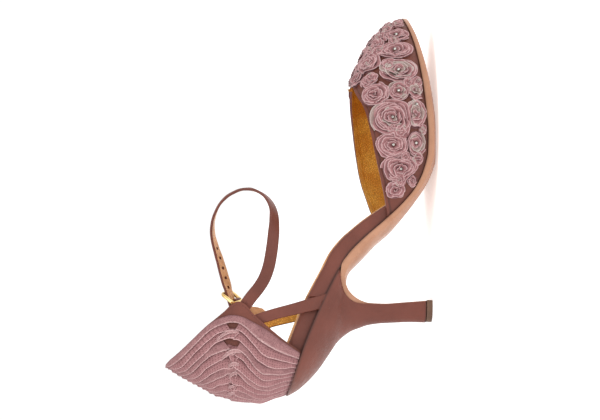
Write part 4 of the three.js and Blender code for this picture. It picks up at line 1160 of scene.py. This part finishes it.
def pleatSheet():  # a coarse net over strips and rises, read between its points
    strips = [i * 0.5 for i in range(counterLook["pleats"] * 2 + 1)]
    rises = [i / 20 for i in range(41)]
    net = [[Vector(pleatPoint(min(s + 0.001, counterLook["pleats"] - 0.02), r, counterLook["inward"]))
            for r in rises] for s in strips]

    def at(strip, rise):
        s = min(max(strip, 0), counterLook["pleats"] - 0.01) * 2
        r = min(max(rise, 0), 1.9999) * 20
        i, j = int(s), int(r)
        low = net[i][j].lerp(net[i][j + 1], r - j)
        high = net[i + 1][j].lerp(net[i + 1][j + 1], r - j)
        return low.lerp(high, s - i)

    def framed(strip, rise):
        p = at(strip, rise)
        side = at(strip + 0.2, rise) - at(strip - 0.2, rise)
        way = at(strip, rise + 0.04) - at(strip, rise - 0.04)
        normal = side.cross(way)
        if normal.length < 1e-6:
            normal = Vector((-1, 0, 0))
        normal.normalize()
        if normal.dot(p - Vector((35, 0, p.z))) < 0:
            normal = -normal
        return p, normal

    return framed


pleatLines = table("seat swell bend high back", [  # where each fold lies, counted in even strips
    (0, 0, 0, 0, 0), (1.35, 2.05, 0.8, 1.0, 1.0), (2.5, 3.5, 1.7, 2.1, 2.0),
    (3.4, 4.7, 2.7, 3.2, 3.0), (4.4, 5.7, 3.8, 4.1, 4.1), (5.3, 6.6, 4.7, 5.2, 5.0),
    (6.2, 7.4, 5.7, 6.3, 6.1), (7.1, 8.1, 6.8, 7.2, 7.0), (8.1, 8.9, 7.8, 8.3, 8.1),
    (9.0, 9.6, 8.8, 9.2, 9.0), (10.0, 10.4, 9.9, 10.2, 10.1), (11.0, 11.2, 10.9, 11.1, 11.0),
    (12, 12, 12, 12, 12),
])
pleatRises = (0, 0.45, 1.0, 1.5, 2.0)
pleatLook = {"open": {1: 0.085, 3: 0.12}, "sheer": (0, 3, 6, 9), "cross": 0.75, "sway": 0.42,
             "rows": 64, "columns": 16, "lift": 1.25, "thick": 0.26}


def pleatLine(index):
    row = pleatLines[index]
    places = [row[k] for k in ("seat", "swell", "bend", "high", "back")]
    return along([{"r": r, "s": s} for r, s in zip(pleatRises, places)], "r", "s")


def pleatLeg(framed, index, side, first, last, high):  # one fold, from rise first to rise last
    look = pleatLook
    upper, lower = pleatLine(index), pleatLine(index + 1)
    phase = index * 1.7 + (0 if side < 0 else 5) + (30 if high else 0)
    overThe = 1 if (index % 2 == 0) == high else 0
    reach = last - first
    tuck = 0.85 * look["open"].get(index, 0)  # an opening narrows towards the fold below

    def place(u, v):
        rise = first + reach * v + tuck * u * (v - 1 if high else v)
        beyond = max(0, (1 - rise) if high else (rise - 1)) if index else 0
        profile = u * 1.24
        if profile < 0.9:
            across, lift = mix(-0.16, 0.94, profile / 0.9), mix(0.12, look["lift"], (profile / 0.9) ** 1.2)
        else:
            fold = (profile - 0.9) / 0.34 * math.pi
            across, lift = 0.94 + 0.06 * math.sin(fold), look["lift"] - 0.3 + 0.3 * math.cos(fold)
        crumple = 1 + (1.6 if index > 4 else 0.4) * bump(rise - 1, 0.12)
        sway = look["sway"] * crumple * noise.noise(Vector((rise * 3.2, phase, 0)))
        sway += 0.12 * crumple * noise.noise(Vector((rise * 9.0, phase, 3)))
        sway *= min(1, rise * 8) * (0.25 if index == 0 else 1)
        narrow = 1 - 0.45 * min(1, beyond / 0.07)
        strip = mix(upper(min(rise, 2)), lower(min(rise, 2)), across * narrow)
        strip += sway * (0.5 + 0.5 * across)
        crossed = 0.3 if index - 1 in look["open"] else look["cross"] * (0.5 + 0.5 * min(1, index / 2))
        strip -= crossed * min(1, beyond / 0.07)
        strip = max(strip, -0.02 if index == 0 else 0.08)
        swell = 1 + 0.4 * noise.noise(Vector((rise * 5.0, phase, 9)))
        p, normal = framed(strip, rise)
        out = counterLook["seat"] * 0.6 + lift * swell + 0.1 * noise.noise(Vector((rise * 30, u * 4, phase)))
        out += (0.75 if overThe else 0.1) * bump(rise - 1, 0.09) * (1 if index else 0)
        out += 0.7 * bump(rise - 2, 0.1) * max(across, 0) ** 2
        p = p + normal * max(out, 0.25)
        return spot(p.x, side * max(p.y, 0.1), p.z)

    strip = wrap("strip", look["columns"], max(16, round(look["rows"] * reach)), place,
                 size=(8, 38 * reach), slots=("sheer" if index in look["sheer"] else "organza",))
    faceAway(strip, lambda c: Vector((-0.08, 0, c.z)))
    values = alongPattern(strip, 0, 8)
    tone = 0.12 * noise.noise(Vector((phase, 3, 3)))
    paint(strip, "rim", lambda i, co: bump(values[i] - 0.75, 0.055))
    paint(strip, "shade", lambda i, co: min(1, max(0, tone + 0.75 * bump(values[i], 0.2)
                                                   + (0.8 if values[i] > 0.86 else 0))))
    modify(strip, "SOLIDIFY", thickness=look["thick"] * mm, offset=0)
    return strip


pleatTies = table("rise strip toRise toStrip wide", [  # loose ends that cross the bend
    (1.2, 2.6, 0.92, 1.9, 0.42), (1.16, 4.9, 0.88, 4.0, 0.46), (1.08, 6.0, 0.9, 5.5, 0.4),
    (1.07, 7.3, 0.92, 6.5, 0.42), (1.1, 8.7, 0.94, 8.3, 0.36), (1.13, 9.8, 0.93, 9.4, 0.4),
])


def pleatTie(framed, tie, side):
    def place(u, v):
        rise = mix(tie["rise"], tie["toRise"], v)
        bow = 0.25 * math.sin(math.pi * v)
        wide = tie["wide"] * (u - 0.5) * (0.6 + 0.4 * math.sin(math.pi * v))
        strip = mix(tie["strip"], tie["toStrip"], v) - bow + wide
        p, normal = framed(strip, rise)
        out = 1.0 + 1.5 * math.sin(math.pi * v) ** 0.7 + 0.25 * math.sin(math.pi * u)
        p = p + normal * out
        return spot(p.x, side * max(p.y, 0.1), p.z)

    piece = wrap("tie", 8, 18, place, size=(3, 10), slots=("sheer",))
    faceAway(piece, lambda c: Vector((-0.08, 0, c.z)))
    values = alongPattern(piece, 0, 3)
    paint(piece, "rim", lambda i, co: 0.25 + 0.75 * bump(abs(values[i] - 0.5) - 0.42, 0.12))
    paint(piece, "shade", lambda i, co: 0.0)
    modify(piece, "SOLIDIFY", thickness=pleatLook["thick"] * mm, offset=0)
    return piece


def makePleats(side, name, node):
    framed = pleatSheet()
    parts = [pleatTie(framed, tie, side) for tie in pleatTies]
    for index in range(counterLook["pleats"]):
        if index == 0:
            parts.append(pleatLeg(framed, index, side, 0, 2, False))
            continue
        opening = pleatLook["open"].get(index, -0.07)
        parts.append(pleatLeg(framed, index, side, 0, 1 - opening, False))
        parts.append(pleatLeg(framed, index, side, 1 + opening, 2, True))
    return finish(joined(parts, name), [node], angle=60)


makePleats(-1, "folded_pleats_medial", "pleats_medial")
makePleats(1, "folded_pleats_lateral", "pleats_lateral")
print("pleats folded")


# Straps: a section with soft edges carried along stations of place, width direction and face direction.
def strapSection(width, thick):
    half, deep = width / 2, thick / 2
    corners = 6
    points = []
    for side in (1, -1):
        for i in range(9):
            points.append((side * mix(-1, 1, i / 8) * (half - deep), side * deep))
        for i in range(1, corners):
            angle = math.pi * i / corners
            points.append((side * (half - deep + deep * math.sin(angle)), side * deep * math.cos(angle)))
    return points


def makeStrap(name, stations, thick, slots, length, cushion=0.0):
    count = len(strapSection(1, 0.1))
    rows = len(stations) - 1

    def place(u, v):
        at, across, out, width = stations[round(v * rows)]
        a, o = strapSection(width, thick)[round(u * count) % count]
        puff = cushion * (1 - (2 * a / width) ** 2) * (1 if o > 0 else 0)
        return spot(*(at + across * a + out * (o + puff)))

    piece = wrap(name, count, rows, place, size=(2 * stations[0][3], length), slots=slots,
                 zone=lambda u, v: 1 if len(slots) > 1 and 14 < u * count < 23 else 0)
    closeEnds(piece)
    return piece


ankleRoute = table("x y z lean", [
    (45.5, -22.2, 116.6, 84), (51.6, -22.8, 113.6, 85), (58.0, -24.2, 109.5, 87),
    (64.2, -26.3, 104.6, 89), (69.7, -27.4, 101.2, 91), (76.7, -28.2, 98.7, 94), (85.5, -27.9, 97.1, 99),
    (95.3, -25.4, 96.0, 108), (104.2, -21.8, 95.4, 126), (112.1, -16.5, 95.8, 144),
    (119.8, -9.0, 98.8, 157), (125.0, -2.0, 103.9, 168), (128.0, 5.0, 111.4, 164),
    (126.9, 11.0, 118.6, 166), (123.4, 15.6, 124.6, 169), (118.4, 19.4, 128.5, 176),
    (110.9, 23.2, 131.1, 187), (103.3, 25.8, 131.2, 199), (95.5, 27.4, 129.2, 209),
    (87.7, 28.3, 126.6, 219), (79.6, 28.5, 124.2, 226), (73.6, 28.1, 122.4, 228),
])
tailRoute = table("x y z lean width", [
    (56.2, 29.7, 113.8, 252, 7.2), (53.6, 29.6, 110.6, 264, 7.2), (51.2, 29.6, 107.6, 270, 6.2),
    (50.2, 29.6, 106.4, 270, 4.0),
])
buckleRoute = table("forward out", [(4.2, -2.1), (1.2, 0.2), (-2.2, 3.2), (-4.8, 4.6)])
buckle = {"centre": (64.8, 27.4, 118.9), "forward": (0.62, 0.3, 0.725), "across": (-0.27, -0.8, 0.54),
          "length": 10.4, "width": 11.2, "bar": 1.5, "round": 2.1}
strapLook = {"width": 7.2, "thick": 1.6, "fine": 8, "holes": (94.9, 89, 82.2, 76.5, 70.7), "hole": 1.0}


def buckleAxes():
    forward = Vector(buckle["forward"]).normalized()
    across = Vector(buckle["across"])
    across = (across - forward * across.dot(forward)).normalized()
    out = across.cross(forward).normalized()
    if out.y < 0:
        out = -out
    return forward, across, out


buckleForward, buckleAcross, buckleOut = buckleAxes()


def onBuckle(forward, across, out):
    return Vector(buckle["centre"]) + buckleForward * forward + buckleAcross * across + buckleOut * out


def ankleStations():
    rows = [(Vector((r["x"], r["y"], r["z"])), r["lean"], strapLook["width"]) for r in ankleRoute]
    rows += [(onBuckle(r["forward"], 0, r["out"]), None, strapLook["width"]) for r in buckleRoute]
    rows += [(Vector((r["x"], r["y"], r["z"])), r["lean"], r["width"]) for r in tailRoute]
    at, heading, last = routeThrough([r[0] for r in rows])
    widths = []
    for i, (_, lean, _) in enumerate(rows):
        if lean is None:
            widths.append(buckleAcross.copy())
            continue
        tangent = heading(i / last)
        side = Vector((0, 1, 0))
        flat = (side - tangent * side.dot(tangent)).normalized()
        angle = math.radians(lean)
        widths.append(flat * math.cos(angle) + tangent.cross(flat) * math.sin(angle))
    stations = []
    for i in range(last * strapLook["fine"] + 1):
        place = i / strapLook["fine"]
        before = min(int(place), last - 1)
        t = place - before
        soft = t * t * (3 - 2 * t)
        tangent = heading(place / last)
        across = widths[before].lerp(widths[before + 1], soft)
        across = (across - tangent * across.dot(tangent)).normalized()
        out = across.cross(tangent).normalized()
        stations.append((at(place / last), across, out, mix(rows[before][2], rows[before + 1][2], t)))
    return stations


def makeAnkleStrap():
    stations = ankleStations()
    middle = Vector((88, 0, 112))
    turned = sum((s[0] - middle).dot(s[2]) for s in stations) < 0
    if turned:
        stations = [(at, across, -out, width) for at, across, out, width in stations]
    print("strap faces out:", not turned)
    piece = makeStrap("satin_ankle_strap", stations, strapLook["thick"], ("satin", "strapLining"), 260,
                      0.12)
    loop = stations[:22 * strapLook["fine"]]
    cutters = []
    for x in strapLook["holes"]:
        near = min(loop, key=lambda s: abs(s[0].x - x) + (50 if s[0].y < 10 else 0))
        at = near[0] - near[2] * strapLook["thick"] * 0.5
        bpy.ops.object.select_all(action="DESELECT")
        bpy.ops.mesh.primitive_cylinder_add(vertices=16, radius=strapLook["hole"] * mm, depth=1.4 * mm)
        punch = bpy.context.object
        punch.data.materials.append(materials["thread"])
        turn = near[2].to_track_quat("Z", "Y").to_matrix().to_4x4()
        punch.data.transform(Matrix.Translation(spot(*at)) @ turn)
        cutters.append(punch)
    cutter = joined(cutters, "punches")
    modify(piece, "BOOLEAN", operation="DIFFERENCE", object=cutter, solver="EXACT")
    bpy.data.objects.remove(cutter)
    return finish(piece, ["ankle_strap"])


makeAnkleStrap()
print("ankle strap laid")


buckleStrapLook = {"ply": 1.1, "half": 3.2, "fine": 6}


def makeBuckleStrap():
    ply, half, fine = [buckleStrapLook[k] for k in ("ply", "half", "fine")]
    eye = buckle["bar"] / 2 + gap
    bar = -buckle["length"] / 2 + buckle["bar"] / 2
    route = [onBuckle(bar - 1.2, 0, 0.9), onBuckle(bar - 2.6, 0, 0.3), onBuckle(bar - 4.5, 0, 0),
             Vector((55.0, 23.0, 111.8)), Vector((50.0, 22.6, 112.6))]
    loop = []
    for i in range(9):
        angle = math.pi * (-0.5 + 1.5 * i / 8)
        loop.append(onBuckle(bar + math.cos(angle) * (eye + ply / 2), 0, math.sin(angle) * (eye + ply / 2)))
    at, heading, last = routeThrough(loop[:-2] + route)
    stations = []
    for i in range(last * fine + 1):
        share = i / (last * fine)
        tangent = heading(share)
        turned = min(1, max(0, (share - 0.6) / 0.3))
        across = buckleAcross.lerp(Vector((-0.1, 0.05, 1)), turned)
        across = (across - tangent * across.dot(tangent)).normalized()
        stations.append((at(share), across, across.cross(tangent).normalized(), 2 * half))
    piece = makeStrap("satin_buckle_strap", stations, ply, ("satin",), 30)
    return finish(piece, ["buckle_strap"])


makeBuckleStrap()


def makeBuckleFrame():
    corner = 1.6
    path = []
    l, w = buckle["length"] / 2 - buckle["bar"] / 2, buckle["width"] / 2 - buckle["bar"] / 2
    for sx, sy, turn in ((1, 1, 0), (-1, 1, 90), (-1, -1, 180), (1, -1, 270)):
        for i in range(7):
            angle = math.radians(turn + 90 * i / 6)
            path.append((sx * (l - corner) + corner * math.cos(angle),
                         sy * (w - corner) + corner * math.sin(angle)))
    count = len(path)

    def place(u, v):
        i = round(v * count) % count
        f, a = path[i]
        before, after = path[i - 1], path[(i + 1) % count]
        way = Vector((after[0] - before[0], after[1] - before[1])).normalized()
        angle = 2 * math.pi * u
        side = math.copysign(abs(math.cos(angle)) ** 0.8, math.cos(angle)) * buckle["round"] / 2
        lift = math.copysign(abs(math.sin(angle)) ** 0.8, math.sin(angle)) * buckle["round"] / 2
        return spot(*onBuckle(f + way.y * side, a - way.x * side, lift))

    piece = wrap("brass_buckle", 20, count, place, size=(5, 40), slots=("brass",))
    editAll(piece, mergeNear, turnOut)
    return finish(piece, ["buckle_frame"], angle=60)


def makeProng():
    reach = buckle["length"] / 2
    rows = [(-reach + buckle["bar"] + gap + 0.9, 0.0, 0.55), (-1.6, 0.9, 0.6), (0.4, 1.3, 0.62),
            (reach - buckle["bar"], 1.4, 0.6), (reach + 0.3, 1.35, 0.5), (reach + 0.6, 1.2, 0.15)]
    at, heading, last = routeThrough([onBuckle(f, 0, o) for f, o, _ in rows])

    def place(u, v):
        share = v * last
        i = min(int(share), last - 1)
        radius = mix(rows[i][2], rows[i + 1][2], share - i)
        tangent = heading(v)
        side = (buckleAcross - tangent * buckleAcross.dot(tangent)).normalized()
        out = side.cross(tangent)
        angle = 2 * math.pi * u
        return spot(*(at(v) + side * math.cos(angle) * radius + out * math.sin(angle) * radius))

    piece = wrap("brass_prong", 14, 20, place, size=(4, 12), slots=("brass",))
    closeEnds(piece)
    return finish(piece, ["buckle_prong"], angle=60)


makeBuckleFrame()
makeProng()
print("buckle made")

sideStrap = {
    "thick": 1.4, "spare": 0.8,
    "rows": table("x z half width", [
        (58.0, 63.6, 23.7, 8.8), (55.1, 75, 24.3, 7.4), (52.6, 84, 24.7, 6.8), (49.9, 94, 24.6, 6.5),
        (46.8, 103.4, 24.0, 6.5), (44.3, 109.0, 23.2, 6.5),
    ]),
    "creases": ((0.05, 0.35), (0.11, 0.3), (0.19, 0.22)),
}


def makeSideStrap(side, name, node):
    rows = sideStrap["rows"]
    spare = sideStrap["spare"] if side > 0 else 0
    points = [Vector((r["x"], side * (r["half"] + spare * max(0, 1 - i / 3)), r["z"]))
              for i, r in enumerate(rows)]
    at, heading, last = routeThrough(points)
    width = along([{"i": i, "w": r["width"]} for i, r in enumerate(rows)], "i", "w")
    stations = []
    for i in range(91):
        share = i / 90
        tangent = heading(share)
        across = Vector((0, 1, 0)).cross(tangent).normalized()
        out = across.cross(tangent).normalized()
        if out.y * side < 0:
            out = -out
        fold = sum(deep * bump(share - where, 0.02) for where, deep in sideStrap["creases"])
        stations.append((at(share) - out * fold, across, out, width(share * last)))
    piece = makeStrap(name, stations, sideStrap["thick"], ("satin", "goldLining"), 48, 0.1)
    return finish(piece, [node])


makeSideStrap(-1, "satin_side_strap_medial", "side_strap_medial")
makeSideStrap(1, "satin_side_strap_lateral", "side_strap_lateral")
print("side straps laid")


# Insole band and sock: the same plan, one over the other.
def makeFootbed(name, node, look, bottomOf, topOf, extra, first, last):
    stations = []
    count = 150
    for i in range(count + 1):
        t = i / count
        stations.append(first + (last - first) * (t * t * (3 - 2 * t) * 0.35 + t * 0.65))
    arc = 7

    def section(x):
        inner, outer = [insoleHalf(x, side, extra) for side in (-1, 1)]
        bottom, top = bottomOf(x), topOf(x)
        roll = min(look["roll"], (top - bottom) * 0.45)
        points = []
        for side, reach in ((1, outer), (-1, inner)):
            pull = min(roll * 0.8, reach * 0.5)
            run = [(reach * s, bottom) for s in (0.0, 0.33, 0.66)]
            run += [(reach, mix(bottom, top - roll, s)) for s in (0.0, 0.25, 0.5, 0.75)]
            for i in range(arc):
                angle = math.pi / 2 * i / (arc - 1)
                run.append((reach - pull * (1 - math.cos(angle)), top - roll * (1 - math.sin(angle))))
            run += [((reach - pull) * s, top + look["crown"] * (1 - s * s)) for s in (0.66, 0.33)]
            if side > 0:
                points += run
            else:
                points += [(0, top + look["crown"])] + [(-y, z) for y, z in reversed(run)][:-1]
        return points

    rings = [section(x) for x in stations]
    wide = len(rings[0])

    def place(u, v):
        i = round(v * count)
        return spot(stations[i], *rings[i][round(u * wide) % wide])

    def zone(u, v):  # the rim of the sock is paler
        return 1 if len(look["slots"]) > 1 and 2 <= min(u * wide, 32 - u * wide) <= 11 else 0

    piece = wrap(name, wide, count, place, size=(90, 260), slots=look["slots"], zone=zone)
    closeEnds(piece)

    # Darker towards the bottom edge: a dark seam line with painted shade where the band meets the sole and
    # heel; the look's seam value sets how much.
    def shade(i, co):
        x = co.x / mm + centre["x"]
        low = bump(co.z / mm - bottomOf(x), 0.7)
        return min(1, look["seam"] * low)

    paint(piece, "shade", shade)
    return finish(piece, [node], angle=50)


# The band's seam value sets the dark seam line with painted shade along its bottom edge.
bandLook = {"roll": 2.8, "crown": 0.0, "seam": 0.95, "slot": "satin", "slots": ("satin",)}
sockLook = {"roll": 0.35, "crown": 0.05, "seam": 0.0, "slot": "gold_lining",
            "slots": ("goldLining", "strapLining")}
makeFootbed("satin_insole_band", "insole", bandLook,
            lambda x: featherZ(x) + mix(-0.28, 0.05, min(1, max(0, (x - 78) / 8))), insoleTop, 0, 9.2, 228)
makeFootbed("gold_sock", "sock_lining", sockLook,
            lambda x: insoleTop(x) - 0.1, lambda x: insoleTop(x) + gap + 0.55, 2.2, 13.5, 224)
print("footbed made")


# Sole: rows across its thickness, first down the front of the heel, then under the foot.
soleDownHeel = table("topX topZ x z half edge", [
    (59.8, 3.9, 61.0, 3.8, 4.3, 1), (59.2, 10, 60.5, 9.9, 4.3, 1), (58.5, 18, 59.8, 18, 4.4, 1),
    (57.6, 29, 58.9, 29, 4.8, 1), (57.6, 37.8, 59.1, 38, 6.0, 1), (58.3, 44.4, 60.5, 43.4, 8.8, 0.95),
    (60.4, 49.6, 63.0, 47.4, 12.2, 0.85), (64.0, 53.2, 66.2, 50.4, 15.4, 0.75),
    (69.0, 55.2, 70.0, 51.9, 18.2, 0.65), (74.0, 56.2, 73.6, 51.4, 20.6, 0.6),
    (79.6, 55.6, 78.4, 48.8, 22.2, 0.55),
])
soleForepart = table("x z edge", [
    (86, 41.6, 0.5), (95.7, 32.6, 0.5), (103, 24.5, 0.5), (108, 20.1, 0.5), (113.3, 15.8, 0.5),
    (120, 10.6, 0.5), (126, 6.6, 0.52), (131, 3.8, 0.53), (137, 1.4, 0.53), (143, 0, 0.53),
    (154, 0, 0.53), (165, 0, 0.52), (176, 0.9, 0.52), (187, 2.4, 0.56), (199, 4.6, 0.6),
    (211, 7.4, 0.66), (220, 10.0, 0.76), (227, 12.5, 0.86), (231, 13.9, 0.92), (233.6, 14.9, 0.96),
    (234.6, 15.4, 1),
])
soleLook = {"fine": 6, "flat": 0.42, "curve": 2.2}


def makeSole():
    rows = []
    for r in soleDownHeel:
        rows.append({**r, "inner": r["half"], "outer": r["half"]})
    for r in soleForepart:
        rows.append({"topX": r["x"], "topZ": featherZ(r["x"]), "x": r["x"], "z": r["z"], "edge": r["edge"],
                     "inner": featherInner(r["x"]), "outer": featherOuter(r["x"])})
    for i, r in enumerate(rows):
        r["row"] = i
    columns = {k: along(rows, "row", k) for k in ("topX", "topZ", "x", "z", "inner", "outer", "edge")}
    count = (len(rows) - 1) * soleLook["fine"]
    stations = []
    for i in range(count + 1):
        s = {k: f(i / soleLook["fine"]) for k, f in columns.items()}
        if s["topX"] > 87:
            s["topZ"] = featherZ(s["topX"])
            s["inner"], s["outer"] = featherInner(s["topX"]), featherOuter(s["topX"])
        stations.append(s)
    under = [-1 + i / 14 for i in range(29)]

    def ring(s):
        points = [(s["topX"], s["outer"] * (1 - 0.5 * i), s["topZ"]) for i in range(3)]
        points += [(s["topX"], -s["inner"] * 0.5, s["topZ"]), (s["topX"], -s["inner"], s["topZ"])]
        low = Vector((s["x"], 0, s["z"]))
        high = Vector((s["topX"], 0, s["topZ"]))
        edge = low.lerp(high, 1 - s["edge"])
        points += [(mix(high.x, edge.x, t), -s["inner"], mix(high.z, edge.z, t)) for t in (0.33, 0.66)]
        for u in under:
            lift = max(0, (abs(u) - soleLook["flat"]) / (1 - soleLook["flat"])) ** soleLook["curve"]
            p = low.lerp(high, lift * (1 - s["edge"]))
            points.append((p.x, u * (s["inner"] if u < 0 else s["outer"]), p.z))
        points += [(mix(edge.x, high.x, t), s["outer"], mix(edge.z, high.z, t)) for t in (0.33, 0.66)]
        return points

    rings = [ring(s) for s in stations]
    wide = len(rings[0])
    piece = wrap("leather_sole", wide, count,
                 lambda u, v: spot(*rings[round(v * count)][round(u * wide) % wide]),
                 size=(80, 300), slots=("soleLeather",))
    closeEnds(piece)
    modify(piece, "BEVEL", width=0.35 * mm, segments=2, limit_method="ANGLE", angle_limit=math.radians(40))

    def shade(i, co):
        x = co.x / mm + centre["x"]
        edge = bump(co.z / mm - featherZ(x), 0.7) if x > 80 else 0
        return min(1, 0.6 * edge)

    paint(piece, "shade", shade)
    return finish(piece, ["outsole"])


makeSole()
print("sole made")

heelLevels = table("z rear front half run", [
    (3.9, 48.4, 59.4, 5.9, 8), (12, 48.5, 58.7, 5.9, 8), (22, 48.0, 57.8, 6.2, 8.5),
    (31, 47.4, 57.2, 6.7, 9), (38, 46.3, 57.3, 7.8, 10.4), (44, 44.2, 57.9, 9.7, 13.0),
    (48, 42.6, 59.3, 11.6, 15.8), (51, 40.6, 61.3, 13.8, 19.8), (53.4, 38.7, 63.9, 15.8, 24),
    (55.2, 37.0, 68.6, 18.4, 30.4), (56.4, 35.7, 75.0, 21.4, 37), (57.6, 34.0, 79, 22.6, 38),
    (62, 27.2, 79, 24.0, 38), (68, 18.6, 79, 25.6, 34), (74, 12.0, 79, 26.6, 30),
    (80, 6.8, 79, 26.8, 27), (86.6, 3.2, 79, 26.8, 27), (90, 2.0, 79, 26.8, 27),
])
heelLook = {"side": 30, "breast": 8, "rows": 80, "foot": 3.9, "turnIn": 1.1}
heelAt = {k: along(heelLevels, "z", k) for k in ("rear", "front", "half", "run")}


def heelPoint(level, share, side):  # share runs from the rear line round the side to the front line
    rear, front, half, run = [level[k] for k in ("rear", "front", "half", "run")]
    front = max(front, rear + run + 0.01)
    if share <= 1:
        distance = (front - rear) * share ** 1.6
        return rear + distance, side * levelHalf(distance, half, run)
    return front, side * half * (2 - share)


def makeHeel():
    shares = [i / heelLook["side"] for i in range(heelLook["side"] + 1)]
    shares += [1 + (i + 1) / heelLook["breast"] for i in range(heelLook["breast"])]
    around = [(s, 1) for s in shares] + [(s, -1) for s in reversed(shares[1:-1])]
    columns = len(around)

    def at(z, share, side):
        level = {k: f(z) for k, f in heelAt.items()}
        level["front"] += heelLook["turnIn"] * min(1, max(0, (48 - z) / 10))
        return heelPoint(level, share, side)

    tops = []
    for share, side in around:
        low, high = 40.0, 90.0
        for _ in range(26):
            middle = (low + high) / 2
            if middle < featherZ(at(middle, share, side)[0]) - 0.1:
                low = middle
            else:
                high = middle
        tops.append(low)

    def place(u, v):
        i = round(u * columns) % columns
        z = mix(heelLook["foot"], tops[i], v)
        x, y = at(z, *around[i])
        return spot(x, y, z)

    piece = wrap("satin_heel", columns, heelLook["rows"], place, size=(120, 90), slots=("satin",))
    closeEnds(piece)

    def shade(i, co):
        x, z = co.x / mm + centre["x"], co.z / mm
        return min(1, 0.75 * bump(featherZ(x) - gap - z, 0.7) + 0.6 * bump(z - heelLook["foot"], 0.5))

    paint(piece, "shade", shade)
    return finish(piece, ["heel"])


topPieceLook = {"rear": 48.7, "front": 61.3, "half": 6.1, "run": 8.4,
                "levels": ((0, -0.35), (0.15, -0.12), (0.5, 0), (1.6, 0), (2.8, 0), (3.35, 0),
                           (3.5, -0.15))}


def makeTopPiece():
    look = topPieceLook
    levels = look["levels"]
    shares = [i / 16 for i in range(17)] + [1 + (i + 1) / 5 for i in range(5)]
    around = [(s, 1) for s in shares] + [(s, -1) for s in reversed(shares[1:-1])]
    columns = len(around)

    def place(u, v):
        z, grow = levels[round(v * (len(levels) - 1))]
        level = {"rear": look["rear"] - grow, "front": look["front"] + grow, "half": look["half"] + grow,
                 "run": look["run"]}
        x, y = heelPoint(level, *around[round(u * columns) % columns])
        return spot(x, y, z)

    piece = wrap("rubber_top_piece", columns, len(levels) - 1, place, size=(40, 4), slots=("heelTip",))
    closeEnds(piece)
    return finish(piece, ["top_piece"], angle=35)


makeHeel()
makeTopPiece()
print("heel made")
